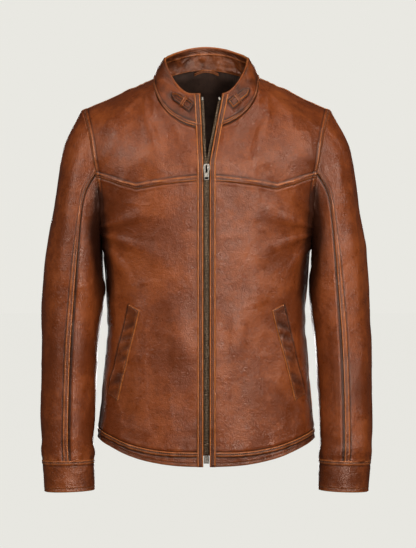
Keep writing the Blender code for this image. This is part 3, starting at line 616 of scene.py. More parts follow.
def sleeve_folds(share, angle, side):
    """Soft creases round the elbow and above the cuff, and drag lines below the armhole."""
    seed = 31 if side == LEFT else 37
    turned = stack(np.cos(angle) * 0.9, np.sin(angle) * 0.9, share * 15)
    inside = 0.35 + 0.65 * (1 + np.cos(angle - math.radians(150))) / 2
    ring = noise(turned + stack(0, 0, 1.1 * np.sin(angle + 0.6)), 1.0, seed)
    elbow = ring * bell(share, 0.50, 0.15) * inside
    wrist = ring * bell(share, 0.82, 0.09) * 0.8
    upper = noise(stack(np.cos(angle) * 2.4, np.sin(angle) * 2.4, share * 4.5), 1.0, seed + 2)
    upper = upper * bell(share, 0.16, 0.13)
    along = noise(stack(np.cos(angle) * 2.1, np.sin(angle) * 2.1, share * 2.2), 1.0, seed + 4)
    steady = smooth(share, 0.0, 0.05) * (1 - smooth(share, CUFF_SHARE - 0.03, CUFF_SHARE))
    return shallow(0.0040 * elbow + 0.0030 * wrist + 0.0034 * upper + 0.0026 * along) * steady


# ---- meshes ----
def mesh_object(name, points, faces, skin, rest=None, wear_and_shade=None):
    """A smooth mesh that holds each point's rest place and its value for rubbed ridges, grooves and painted
    shade.
    """
    mesh = bpy.data.meshes.new(name)
    mesh.from_pydata(points.reshape(-1, 3).tolist(), [], faces)
    mesh.shade_smooth()
    rest = points if rest is None else rest
    wear_and_shade = np.zeros(len(mesh.vertices)) if wear_and_shade is None else wear_and_shade
    layers = (("rest", "FLOAT_VECTOR", "vector", rest), ("wear_and_shade", "FLOAT", "value", wear_and_shade))
    for key, kind, field, values in layers:
        mesh.attributes.new(key, kind, "POINT").data.foreach_set(field, values.astype(np.float32).ravel())
    made = bpy.data.objects.new(name, mesh)
    bpy.context.scene.collection.objects.link(made)
    mesh.materials.append(skin)
    return made


def grid_faces(rows, columns, flip, loop):
    i, j = np.meshgrid(np.arange(rows - 1), np.arange(columns if loop else columns - 1), indexing="ij")
    after = (j + 1) % columns
    low, high = i * columns, (i + 1) * columns
    quads = np.stack([low + j, low + after, high + after, high + j], -1)
    quads = quads[..., ::-1] if flip else quads
    return quads.reshape(-1, 4).tolist()


def panel_object(name, panel, skin, thickness=LEATHER):
    kept = slice(None, -1) if panel.loop else slice(None)
    wear_and_shade = panel.wear_and_shade[:, kept]
    faces = grid_faces(*wear_and_shade.shape, panel.flip, panel.loop)
    made = mesh_object(name, panel.points[:, kept], faces, skin, panel.base[:, kept], wear_and_shade)
    shell = made.modifiers.new("thickness", "SOLIDIFY")
    shell.thickness = thickness
    shell.offset = -1
    return made


def declare(made, panel):
    """Works out the panel's largest width and length and the area of its sheet, and keeps none of them."""
    width = float(panel.edge["near"][:, -1].max())
    length = float(panel.edge["low"][-1].max())
    area = min(width * length, max(0.3 * width * length, panel.area))


def resample(line, pitch):
    gone = np.concatenate([[0], np.cumsum(np.linalg.norm(np.diff(line[:, :3], axis=0), axis=-1))])
    count = int(gone[-1] / pitch)
    if count < 2:
        return None
    spots = (np.arange(count) + 0.5) * gone[-1] / count
    return np.stack([np.interp(spots, gone, line[:, k]) for k in range(line.shape[1])], -1)


class Stitches:
    """Rows of thread, gathered into one mesh."""

    def __init__(self):
        self.points, self.faces, self.count = [], [], 0

    def sew(self, line, pitch=STITCH_PITCH):
        """Six-sided stitches along a line of points and normals, each thinner and lower at its ends."""
        spots = resample(line, pitch) if len(line) > 2 else None
        if spots is None:
            return
        here, normal = spots[:, :3], unit(spots[:, 3:])
        along = unit(np.gradient(here, axis=0))
        side = np.cross(along, normal)
        made = []
        for share, wide, drop in ((-0.5, 0.35, -0.5), (-0.32, 1.0, 0.0), (0.32, 1.0, 0.0), (0.5, 0.35, -0.5)):
            centre = here + along * (share * STITCH_LENGTH) + normal * (STITCH_LIFT + drop * STITCH_RADIUS)
            for turn in np.arange(6) * math.pi / 3:
                made.append(centre + (side * math.cos(turn) + normal * math.sin(turn)) * STITCH_RADIUS * wide)
        count = len(made)
        faces = grid_faces(4, 6, False, True) + [list(range(6))[::-1], list(range(count - 6, count))]
        for stitch in range(len(here)):
            start = self.count + stitch * count
            self.faces.extend([[start + corner for corner in face] for face in faces])
        self.points.append(np.stack(made, axis=1).reshape(-1, 3))
        self.count += len(here) * count

    def build(self, name, skin):
        return mesh_object(name, np.concatenate(self.points), self.faces, skin)


# ---- materials ----


def put(tree, kind, sockets, **settings):
    """A node with its settings and sockets, each socket a number, a colour or another node's output."""
    node = tree.nodes.new(kind)
    for key, value in settings.items():
        setattr(node, key, value)
    for key, value in sockets.items():
        if isinstance(value, bpy.types.NodeSocket):
            tree.links.new(value, node.inputs[key])
        else:
            node.inputs[key].default_value = value
    return node


class Skin:
    """A material being put together, its patterns laid over each point's rest place."""

    def __init__(self, name):
        self.made = bpy.data.materials.new(name)
        self.made.use_nodes = True
        self.tree = self.made.node_tree
        self.shader = self.tree.nodes["Principled BSDF"]
        self.place = self.value("rest", "Vector")

    def put(self, kind, sockets, **settings):
        return put(self.tree, kind, sockets, **settings)

    def value(self, name, output):
        return self.put("ShaderNodeAttribute", {}, attribute_name=name).outputs[output]

    def mottle(self, scale, detail=4.0, rough=0.6, place=None):
        place = self.place if place is None else place
        sockets = {"Vector": place, "Scale": scale, "Detail": detail, "Roughness": rough}
        return self.put("ShaderNodeTexNoise", sockets).outputs["Fac"]

    def cells(self, scale, feature="F1"):
        sockets = {"Vector": self.place, "Scale": scale}
        return self.put("ShaderNodeTexVoronoi", sockets, feature=feature).outputs["Distance"]

    def ranged(self, value, low, high, to_low=0.0, to_high=1.0):
        sockets = {"Value": value, "From Min": low, "From Max": high, "To Min": to_low, "To Max": to_high}
        return self.put("ShaderNodeMapRange", sockets).outputs["Result"]

    def math(self, operation, a, b):
        return self.put("ShaderNodeMath", {0: a, 1: b}, operation=operation).outputs[0]

    def total(self, *parts):
        """The sum of some values, each times its share."""
        result, *others = [self.math("MULTIPLY", value, share) for value, share in parts]
        for other in others:
            result = self.math("ADD", result, other)
        return result

    def blend(self, share, a, b):
        colours = {key: (*value, 1.0) if isinstance(value, tuple) else value
                   for key, value in ((6, a), (7, b))}
        return self.put("ShaderNodeMix", {"Factor": share, **colours}, data_type="RGBA").outputs[2]

    def finish(self, colour, roughness, bumps, fixed):
        """Links colour, roughness and the bumps, one over another, and sets what is the same all over."""
        for value, socket in ((colour, "Base Color"), (roughness, "Roughness")):
            self.tree.links.new(value, self.shader.inputs[socket])
        under = {}
        for strength, distance, height in bumps:
            sockets = {"Strength": strength, "Distance": distance, "Height": height, **under}
            under = {"Normal": self.put("ShaderNodeBump", sockets).outputs["Normal"]}
        self.tree.links.new(under["Normal"], self.shader.inputs["Normal"])
        for socket, value in fixed.items():
            self.shader.inputs[socket].default_value = value
        return self.made


def leather(name, deep, middle, light, ridge, bloom, roughness):
    """Waxed, distressed hide: cloudy colour, rubbed light on its ridges, dark in its seams and darker still
    where shade is painted, fine grain.
    """
    skin = Skin(name)
    wear_and_shade = skin.value("wear_and_shade", "Fac")
    clouds = skin.mottle(10.0, 5.0, 0.62)
    patches = skin.mottle(52.0, 6.0, 0.68)
    flecks = skin.mottle(230.0, 4.0, 0.72)
    tone = skin.total((clouds, 0.54), (patches, 0.25), (flecks, 0.21))
    colour = skin.blend(skin.ranged(tone, 0.355, 0.545), deep, middle)
    colour = skin.blend(skin.ranged(tone, 0.475, 0.650), colour, light)
    colour = skin.blend(skin.ranged(skin.mottle(15.0, 5.0, 0.7), 0.52, 0.74, 0.0, 0.12), colour, bloom)
    rubbed = skin.math("MULTIPLY", skin.ranged(wear_and_shade, 0.10, 0.95), skin.ranged(flecks, 0.34, 0.60, 0.45, 1.0))
    colour = skin.blend(rubbed, colour, ridge)
    # Dark in the grooves, and painted shade where the value falls below zero.
    colour = skin.blend(skin.ranged(wear_and_shade, -0.06, -0.70, 0.0, 0.90), colour, GROOVE_AND_SHADE_BROWN)
    dull = skin.total((patches, 1.0), (wear_and_shade, -0.18))
    shine = skin.ranged(dull, 0.3, 0.7, roughness - 0.09, roughness + 0.12)
    creases = skin.ranged(skin.cells(150.0, "DISTANCE_TO_EDGE"), 0.0, 0.16)
    bumps = ((0.35, 0.0003, skin.cells(640.0)), (0.12, 0.0009, creases),
             (0.55, 0.0008, skin.mottle(430.0, 4.0, 0.7)), (0.26, 0.0030, skin.mottle(75.0, 6.0, 0.62)))
    fixed = {"Specular IOR Level": 0.5, "Specular Tint": (1.0, 0.72, 0.60, 1)}
    return skin.finish(colour, shine, bumps, fixed)


def woven(name, dark, light, roughness, threads):
    """Twill: fine slanted ribs crossed by a slubby weave."""
    skin = Skin(name)
    wave = {"Vector": skin.place, "Scale": threads, "Distortion": 1.2, "Detail": 2.0, "Detail Scale": 2.0}
    ribs = skin.put("ShaderNodeTexWave", wave, bands_direction="DIAGONAL").outputs["Fac"]
    slubs = skin.mottle(160.0)
    tone = skin.total((ribs, 0.45), (slubs, 0.55))
    tone = skin.math("MULTIPLY", tone, skin.ranged(skin.mottle(22.0), 0.3, 0.7, 0.75, 1.25))
    colour = skin.blend(skin.ranged(tone, 0.2, 0.8), dark, light)
    shine = skin.ranged(slubs, 0.3, 0.7, roughness - 0.08, roughness + 0.08)
    fixed = {"Specular IOR Level": 0.2, "Sheen Weight": 0.03, "Sheen Roughness": 0.5}
    return skin.finish(colour, shine, ((0.5, 0.0003, tone),), fixed)


def metal(name, deep, bright, roughness):
    """Antiqued metal: darkened in patches, rubbed bright, with fine scratches."""
    skin = Skin(name)
    tarnish = skin.mottle(420.0, 5.0, 0.65)
    sockets = {"Vector": skin.place, "Scale": (900.0, 900.0, 9000.0)}
    drawn = skin.put("ShaderNodeMapping", sockets).outputs["Vector"]
    scratches = skin.mottle(1.0, 3.0, 0.6, drawn)
    colour = skin.blend(skin.ranged(tarnish, 0.36, 0.60), deep, bright)
    shine = skin.ranged(scratches, 0.3, 0.7, roughness - 0.06, roughness + 0.14)
    return skin.finish(colour, shine, ((0.25, 0.0001, tarnish),), {"Metallic": 1.0})


def thread(name, dark, light):
    skin = Skin(name)
    twist = skin.mottle(900.0, 2.0, 0.5)
    colour = skin.blend(skin.ranged(twist, 0.3, 0.7), dark, light)
    return skin.finish(colour, skin.ranged(twist, 0.3, 0.7, 0.55, 0.75), ((0.5, 0.0001, twist),), {})


RIDGE_TAN = (0.50, 0.160, 0.040)
# The dark of the seams' grooves, and also the colour of painted shade round the tabs, along the welts and
# below the armholes.
GROOVE_AND_SHADE_BROWN = (0.018, 0.0052, 0.0026)
BODY = leather("cognac_leather", (0.100, 0.0215, 0.0056), (0.158, 0.0330, 0.0072), (0.262, 0.0630, 0.0140),
               RIDGE_TAN, (0.30, 0.090, 0.030), 0.31)
TRIM = leather("cognac_leather_trim", (0.072, 0.0155, 0.0044), (0.130, 0.0280, 0.0064),
               (0.230, 0.0560, 0.0130), RIDGE_TAN, (0.27, 0.080, 0.028), 0.31)
INSIDE = leather("cognac_leather_inside", (0.040, 0.0100, 0.0034), (0.112, 0.0260, 0.0066),
                 (0.215, 0.0560, 0.0135), (0.40, 0.125, 0.034), (0.25, 0.080, 0.030), 0.32)
LINING = woven("lining_twill", (0.0160, 0.0082, 0.0054), (0.066, 0.0340, 0.0225), 0.60, 420.0)
TAPE = woven("zip_tape", (0.016, 0.0085, 0.0050), (0.060, 0.034, 0.020), 0.82, 620.0)
BRONZE = metal("antique_bronze", (0.048, 0.031, 0.019), (0.185, 0.125, 0.078), 0.40)
NICKEL = metal("antique_nickel", (0.055, 0.048, 0.040), (0.225, 0.202, 0.172), 0.36)
# A near black that stands for the shade in the pull's holes and under the slider's bail: painted shade.
HOLE_SHADE = metal("hole_shade_black", (0.004, 0.0034, 0.0028), (0.012, 0.010, 0.008), 0.60)
THREAD = thread("waxed_thread", (0.115, 0.040, 0.018), (0.30, 0.125, 0.055))
SLOT_OF = {BODY: "leather", TRIM: "leather_trim", INSIDE: "leather_inner", LINING: "lining", TAPE: "zip_tape"}


# ---- putting a piece in place ----
def settle(made, body, slot, *nodes):
    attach(made, body)
    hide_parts(*nodes)
    return made


def finish(panel, node, skin, thickness=None, body="jacket"):
    """The panel's piece, which stands for node and rides on body."""
    cloth = skin in (LINING, TAPE)
    name = node + ("_cloth" if cloth else "_leather")
    made = panel_object(name, panel, skin, thickness or (CLOTH if cloth else LEATHER))
    return settle(made, body, SLOT_OF[skin], node)


def bend_at_armhole(made, side, slot, *nodes):
    """Bakes the piece's place into its mesh and hides the frame's parts that it stands for."""
    foot = armhole(math.pi)
    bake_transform(made)
    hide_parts(*nodes)
    return made


def keep_off(panel, behind, gap=SEAM_GAP):
    """Keeps the side and shoulder seams' points, which lie at y = 0, on their own side."""
    y = panel.points[..., 1]
    panel.points[..., 1] = np.maximum(y, gap) if behind else np.minimum(y, -gap)


def ease_rows(panel, row):
    """Rounds off the slight angle across the panel where its two surface formulas meet."""
    rows = np.arange(panel.points.shape[0])
    share = (0.5 * bell(rows, row, 14.0))[1:-1, None, None]
    for _ in range(160):
        middle = (panel.points[:-2] + panel.points[2:]) / 2
        panel.points[1:-1] += share * (middle - panel.points[1:-1])
    panel.measure()
    panel.base = panel.points.copy()


def dress(panel, behind, laps=(), tucks=()):
    """Folds and crumpled leather, then each edge's own relief."""
    keep_off(panel, behind)
    panel.raise_by(torso_folds(panel.base, behind))
    panel.raise_by(crumple(panel.base, 1))
    for edges, relief in ((laps, lap_relief), (tucks, tuck_relief)):
        for edge in edges:
            panel.raise_by(*relief(panel.edge[edge]))


def sew_lap(stitches, panel, edge, width=LAP):
    stitches.sew(panel.line(edge, 0.0026))
    stitches.sew(panel.line(edge, width - 0.0016))


# ---- torso ----
def build_torso(stitches):
    for side in (LEFT, RIGHT):
        name, flip = SIDE_NAME[side], side == RIGHT

        def edge(z, side=side):
            return zip_edge(z, side)

        low = lower_place(side, edge, lambda x: hem_seam_z(x) - TUCK, underarm)
        chest = chest_place(side, edge, lambda x: yoke_z(x) + TUCK, YOKE_ANGLE - 2 * SEAM_TURN)
        panel = Panel(stacked(low, chest, 0.5), 96, PANEL_ROWS, flip=flip)
        ease_rows(panel, PANEL_ROWS // 2)
        dress(panel, False, tucks=("high", "low"))
        pucker(panel, "low", 0.016, 0.010, 0.0010, 41)
        pucker(panel, "near", 0.016, 0.012, 0.0010, 43)
        pucker(panel, "high", 0.012, 0.011, 0.0008, 45)
        welt_shadow(panel, side)
        armhole_relief(panel, stitches)
        declare(finish(panel, f"front_panel_{name}", BODY), panel)

        yoke = Panel(shoulder_place(side, edge, yoke_z, YOKE_ANGLE), 96, 110, flip=flip)
        dress(yoke, False, laps=("low",), tucks=("high",))
        under_back = smooth(np.abs(yoke.base[..., 0]), 0.088, 0.098)
        under_back = under_back * (1 - smooth(yoke.edge["high"], 0.0, 0.006))
        yoke.points[..., 1] += (TUCK + 0.002) * under_back
        pucker(yoke, "low", 0.014, 0.011, 0.0007, 47)
        pucker(yoke, "high", 0.012, 0.010, 0.0009, 49)
        armhole_relief(yoke, stitches)
        sew_lap(stitches, yoke, "low")
        declare(finish(yoke, f"front_yoke_{name}", BODY), yoke)
        band = lower_place(side, edge, hem_z, hem_seam_z)
        build_hem_band(stitches, f"hem_band_{name}", band, 96, flip, False)

    low = lower_place(LEFT, None, lambda x: hem_seam_z(x) - TUCK, underarm, behind=True)
    chest = chest_place(LEFT, None, lambda x: BACK_YOKE_Z + TUCK + 0 * x,
                        BACK_YOKE_ANGLE - 2 * SEAM_TURN, True)
    back = Panel(stacked(low, chest, 0.5), 190, PANEL_ROWS, flip=True)
    ease_rows(back, PANEL_ROWS // 2)
    dress(back, True, tucks=("high", "low"))
    pucker(back, "low", 0.016, 0.010, 0.0010, 51)
    pucker(back, "high", 0.012, 0.011, 0.0008, 53)
    armhole_relief(back, stitches)
    declare(finish(back, "back_panel", BODY), back)

    top = shoulder_place(LEFT, None, lambda x: BACK_YOKE_Z + 0 * x, BACK_YOKE_ANGLE, behind=True)
    yoke = Panel(top, 190, 90, flip=True)
    dress(yoke, True, laps=("low", "high"))
    armhole_relief(yoke, stitches)
    sew_lap(stitches, yoke, "low")
    sew_lap(stitches, yoke, "high")
    declare(finish(yoke, "back_yoke", BODY), yoke)
    band = lower_place(LEFT, None, hem_z, hem_seam_z, behind=True)
    build_hem_band(stitches, "hem_band_back", band, 190, True, True)


def armhole_relief(panel, stitches):
    """The double seam round the armhole and down the side, unsewn where the sleeve presses on the body; there
    its rubbed ridges fade and painted shade darkens the seam.
    """
    edges = ("near", "far") if panel.u.shape[1] > 150 else ("far",)
    arm_shadow(panel)
    depth = -panel.base[..., 2]
    # Where the sleeve presses on the body below the yoke: the seam gets painted shade here.
    arm_shade_zone = smooth(depth, 0.172, 0.198) * (1 - smooth(depth, 0.300, 0.390))
    for edge in edges:
        height, wear_and_shade = lap_relief(panel.edge[edge], NARROW_LAP)
        panel.raise_by(height, wear_and_shade * (1 - 0.9 * arm_shade_zone) - 1.1 * arm_shade_zone * bell(panel.edge[edge], 0, 0.0070))
        for offset in (0.0026, NARROW_LAP - 0.0016):
            line = panel.line(edge, offset)
            for clear in (line[line[:, 2] > -0.185], line[line[:, 2] < -0.390]):
                stitches.sew(clear)


def arm_shadow(panel):
    """Painted shade: the side of the body, and the sleeve beside it, are darkened where they press together
    below the armhole.
    """
    x, z = np.abs(panel.base[..., 0]), panel.base[..., 2]
    gap = x - waist_half(np.minimum(z, UNDERARM_Z))
    width = np.where(gap > 0, 0.021, 0.012)
    low = bell(z, -0.300, 0.105) * smooth(-z, 0.165, 0.205)
    panel.wear_and_shade = panel.wear_and_shade - 1.3 * bell(gap, 0.0, width) * low


def build_hem_band(stitches, node, place, columns, flip, behind):
    band = Panel(place, columns, 16, flip=flip)
    keep_off(band, behind)
    band.raise_by(torso_folds(band.base, behind) + crumple(band.base, 1) + 0.0006, -0.12)
    pucker(band, "high", 0.012, 0.008, 0.0016, 55)
    pucker(band, "low", 0.008, 0.011, 0.0009, 57)
    band.raise_by(*lap_relief(band.edge["high"], BAND_LAP))
    band.raise_by(*hem_relief(band.edge["low"]))
    sew_lap(stitches, band, "high", BAND_LAP)
    stitches.sew(band.line("low", HEM_STITCH))
    declare(finish(band, node, TRIM), band)


# ---- sleeves ----
def build_sleeves():
    for side in (LEFT, RIGHT):
        name, flip = SIDE_NAME[side], side == RIGHT
        stitches = Stitches()
        parts = (("top", BACK_SEAM - 2 * math.pi, FRONT_SEAM, 128, lap_relief),
                 ("under", FRONT_SEAM, BACK_SEAM, 104, tuck_relief))
        for part, first, last, columns, relief in parts:
            def place(u, v, first=first, last=last):
                return tucked_sleeve(mix(-0.008, CUFF_SHARE + 0.004, v), mix(first, last, u), side)

            panel = Panel(place, columns, 300, flip=flip)
            panel.raise_by(sleeve_folds(panel.v * CUFF_SHARE, mix(first, last, panel.u), side))
            panel.raise_by(crumple(panel.base, 3))
            panel.raise_by(*tuck_relief(panel.edge["low"]))
            pucker(panel, "low", 0.018, 0.011, 0.0010, 61)
            pucker(panel, "high", 0.016, 0.009, 0.0012, 63)
            for edge in ("near", "far"):
                panel.raise_by(*relief(panel.edge[edge]))
                if relief is lap_relief:
                    sew_lap(stitches, panel, edge)
                    pucker(panel, edge, 0.014, 0.011, 0.0007, 65)
            arm_shadow(panel)
            # Painted shade on the sleeve beside its armhole seam, below the yoke.
            shade = bell(panel.edge["low"], 0, 0.013)
            panel.wear_and_shade = panel.wear_and_shade - shade * smooth(-panel.base[..., 2], 0.165, 0.200)
            made = panel_object(f"sleeve_{part}_{name}_leather", panel, BODY)
            bend_at_armhole(made, side, "leather", f"sleeve_{part}_{name}")
            declare(made, panel)

        lining = Panel(lambda u, v: sleeve(mix(0.015, CUFF_SHARE - 0.004, v), 2 * np.pi * u, side), 120, 160,
                       depth=0.0052, flip=flip, loop=True)
        lining.raise_by(0.0010 * noise(lining.base * np.array([1, 1, 0.4]), 0.016, 71))
        made = panel_object(f"lining_sleeve_{name}_cloth", lining, LINING, CLOTH)
        bend_at_armhole(made, side, "lining", f"lining_sleeve_{name}")
        declare(made, lining)
        bend_at_armhole(stitches.build(f"stitching_sleeve_{name}", THREAD), side, "leather")
        build_cuff(side)


def build_cuff(side):
    """A plain cuff: a burnished ridge at its seam, a rolled and stitched lower edge, turned up inside."""
    name = SIDE_NAME[side]
    cuff = Panel(lambda u, v: sleeve(mix(CUFF_SHARE - 0.001, 1, v), 2 * np.pi * u, side), 190, 40,
                 flip=side == RIGHT, loop=True)
    cuff.raise_by(crumple(cuff.base, 5) + 0.0004)
    pucker(cuff, "low", 0.010, 0.009, 0.0008, 67)
    height, wear_and_shade = lap_relief(cuff.edge["low"], BAND_LAP)
    cuff.raise_by(0.6 * height, 0.7 * wear_and_shade)
    cuff.raise_by(*hem_relief(cuff.edge["high"], EDGE_STITCH))
    stitches = Stitches()
    sew_lap(stitches, cuff, "low", BAND_LAP)
    stitches.sew(cuff.line("high", EDGE_STITCH))
    declare(finish(cuff, f"cuff_{name}", TRIM, 0.0022, f"sleeve_{name}"), cuff)
    settle(stitches.build(f"stitching_cuff_{name}", THREAD), f"sleeve_{name}", "leather_trim")


# ---- collar ----
def rolled(panel, radius, steps):
    """The panel with its top edge rolled over inward, half a turn."""
    top, normal, up = panel.points[-1], panel.normals[-1], panel.up[-1]
    centre = top - normal * radius
    turns = np.linspace(0, np.pi, steps + 1)[1:]
    extra = np.array([centre + normal * (radius * math.cos(t)) + up * (radius * math.sin(t)) for t in turns])
    facing = np.array([normal * math.cos(t) + up * math.sin(t) for t in turns])
    lift = np.repeat(bell(turns, np.pi / 2, 0.9)[:, None], len(top), axis=1)
    panel.points = np.concatenate([panel.points, extra])
    panel.base = np.concatenate([panel.base, extra])
    panel.normals = np.concatenate([panel.normals, facing])
    panel.wear_and_shade = np.concatenate([panel.wear_and_shade, lift])


def build_collar(stitches):
    outer = Panel(lambda u, v: collar_place(u, mix(-0.085, 1, v)), 300, 40)
    outer.raise_by(crumple(outer.base, 7) * 1.4, 0.30 * noise(outer.base, 0.012, 79) - 0.24)
    pucker(outer, "low", 0.012, 0.010, 0.0009, 73)
    pucker(outer, "high", 0.012, 0.008, 0.0008, 75)
    outer.raise_by(*lap_relief(outer.edge["low"], COLLAR_LAP))
    high = outer.edge["high"]
    outer.raise_by(-0.0006 * bell(high, EDGE_STITCH, 0.0006),
                   bells(high, (0.5, 0, 0.0016), (-0.5, EDGE_STITCH, 0.0007)))
    for side in (LEFT, RIGHT):
        tab_shadow(outer, side)
    sew_lap(stitches, outer, "low", COLLAR_LAP)
    stitches.sew(outer.line("high", EDGE_STITCH))
    rolled(outer, (COLLAR_FACING_DEPTH + LEATHER) / 2, 12)
    declare(finish(outer, "collar_outer", BODY, 0.0009), Panel(collar_place, 60, 12))

    def facing_place(u, v):
        return collar_place(u, mix(-0.16 + LINING_SHARE * bell(u, 0.5, 0.24) ** 2, 1, v))

    def facing_depth(u, v):
        return COLLAR_FACING_DEPTH + 0.0020 * (1 - smooth(v, 0.0, 0.3))

    facing = Panel(facing_place, 300, 48, depth=facing_depth)
    high, low = facing.edge["high"], facing.edge["low"]
    bend = stack(0.006 * noise(facing.base, 0.017, 87), 0, 0.004 * noise(facing.base, 0.013, 89))
    bent = facing.base + bend
    crease = 1 - np.abs(noise(bent * np.array([1, 1, 0.7]), 0.011, 85))
    folds = 0.0018 * noise(bent * np.array([1, 1, 0.6]), 0.010, 81) + 0.0010 * crease ** 3
    folds = (folds + 1.1 * crumple(facing.base, 9)) * smooth(low, 0.0, 0.006)
    band = bell(high, 0.0052, 0.0040)
    gathers = noise(stack(facing.edge["near"] / 0.0052 + high / 0.006, 0, 0), 1.0, 83) * band
    relief = folds * smooth(high, 0.004, 0.016) + 0.0006 * gathers + 0.0008 * bell(high, 0.0106, 0.0010)
    wear_and_shade = bells(high, (0.7, 0.0106, 0.0010), (-0.45, 0.0052, 0.0034), (-0.5, 0.0128, 0.0010))
    wear_and_shade = wear_and_shade + 0.25 * gathers
    wear_and_shade = wear_and_shade + 150 * (folds - 0.0013) * smooth(high, 0.008, 0.018) + 0.9 * bell(low, 0.0006, 0.0009)
    facing.raise_by(-relief, wear_and_shade)
    declare(finish(facing, "collar_facing", INSIDE, 0.0009), facing)
    for side in (LEFT, RIGHT):
        build_tab(side, stitches)


def tab_axes(side):
    far, near = (np.array(end) for end in TAB_ENDS[side])
    along = far - near
    length = np.linalg.norm(along)
    along = along / length
    return near, along, np.array([-along[1], along[0]]) * side, length


def tab_half(run, length):
    """Half the tab's width: a square block in front, a narrower strap, a point behind."""
    block = 1.20 - 0.34 * smooth(run, 0.0125, 0.0140)
    return TAB_WIDTH / 2 * block * (1 - 0.85 * smooth(run, length - 0.0085, length + 0.0010))


def build_tab(side, stitches):
    """The strap on the collar: square end in front, pointed end behind, edges stitched, under a keeper."""
    near, along, across, length = tab_axes(side)
    name, flip = SIDE_NAME[side], side == RIGHT

    def tab_place(u, v):
        run = u * length
        spot = near + along * run[..., None] + across * ((2 * v - 1) * tab_half(run, length))[..., None]
        return on_collar(side * spot[..., 0], spot[..., 1], np.full(u.shape, 0.0019))

    tab = Panel(tab_place, 66, 22, flip=flip)
    from_edge = np.minimum.reduce(list(tab.edge.values()))
    relief = 0.0020 * smooth(from_edge, 0.0002, 0.0018)
    relief = relief + bells(from_edge, (-0.0022, 0, 0.0008), (-0.0007, 0.0028, 0.0006),
                            (0.0002, 0.0040, 0.0008))
    wear_and_shade = bells(from_edge, (0.8, 0.0012, 0.0011), (-1.0, 0.0031, 0.0009)) - 0.10
    tab.raise_by(relief + 0.3 * crumple(tab.base, 11), wear_and_shade)
    for edge, skipped in (("low", 6), ("high", 6), ("near", 4)):
        stitches.sew(tab.line(edge, 0.0023)[skipped:-skipped])
    strap = finish(tab, f"collar_tab_{name}", TRIM)

    def keeper_place(u, v):
        spot = near + along * (length * KEEPER_SHARE + KEEPER_WIDTH * (u - 0.5))[..., None]
        spot = spot + across * ((TAB_WIDTH + 0.005) * (v - 0.5))[..., None]
        lift = 0.0017 + 0.0036 * np.minimum(1.0, 12 * v * (1 - v))
        return on_collar(side * spot[..., 0], spot[..., 1], lift)

    keeper = Panel(keeper_place, 12, 40, flip=flip)
    side_gap = np.minimum(keeper.edge["near"], keeper.edge["far"])
    keeper.raise_by(0.0005 * smooth(side_gap, 0, 0.0012), 0.8 * bell(side_gap, 0.0004, 0.0006))
    made = finish(keeper, f"collar_keeper_{name}", TRIM, 0.0010)
    tab.measure()
    declare(strap, tab)


def tab_shadow(panel, side):
    """Painted shadow: the collar sinks, and is darkened, round the outline of its tab."""
    near, along, across, length = tab_axes(side)
    spot = front_spot(panel, side) - near
    run, off = spot @ along, np.abs(spot @ across)
    out = np.maximum.reduce([off - tab_half(run, length), -run, run - length])
    front = panel.base[..., 1] < 0
    panel.raise_by(-0.0012 * bell(out, 0.0008, 0.0020) * front, -0.85 * bell(out, 0.0006, 0.0015) * front)


def build_hanger_loop(stitches):
    back_y = float(torso(0.0, neckline(0.0, True)[1], True)[1])

    def loop_place(u, v):
        arch = np.sin(np.pi * u)
        z = mix(0.0040, 0.0086, v) + 0.0065 * arch
        return stack(mix(-0.021, 0.021, u), back_y - 0.0140 - 0.0110 * arch, z)

    strap = Panel(loop_place, 90, 14)
    from_edge = np.minimum(strap.edge["low"], strap.edge["high"])
    seam = bell(from_edge, 0.0013, 0.0003)
    strap.raise_by(0.0005 * smooth(from_edge, 0, 0.0009) - 0.0003 * seam,
                   0.9 * bell(from_edge, 0.0003, 0.0006) - 0.4 * seam)
    for edge in ("low", "high"):
        stitches.sew(strap.line(edge, 0.0013), pitch=0.0028)
    finish(strap, "hanger_loop", TRIM, 0.0016)


# ---- pockets ----
def welt_corner(across, along):
    top = np.array(WELT_TOP) - np.array([0.0195, 0.0095]) * across[..., None]
    foot = np.array(WELT_FOOT) - np.array([0.0145, 0.0105]) * across[..., None]
    return mix(top, foot, along[..., None])


def front_spot(panel, side):
    """The panel's points as (x, z) of the left half of the front."""
    return np.stack([side * panel.base[..., 0], panel.base[..., 2]], axis=-1)


def welt_shadow(panel, side):
    """Painted shadow: the front panel sinks, and is darkened, along the welt's open edge."""
    along = unit(np.array(WELT_FOOT) - np.array(WELT_TOP))
    spot = front_spot(panel, side) - np.array(WELT_TOP)
    run = spot @ along
    out = spot @ np.array([-along[1], along[0]])
    beside = smooth(run, -0.003, 0.004) * (1 - smooth(run, 0.156, 0.165))
    panel.raise_by(-0.0012 * bell(out, 0.0010, 0.0028) * beside, -1.2 * bell(out, 0.0012, 0.0026) * beside)


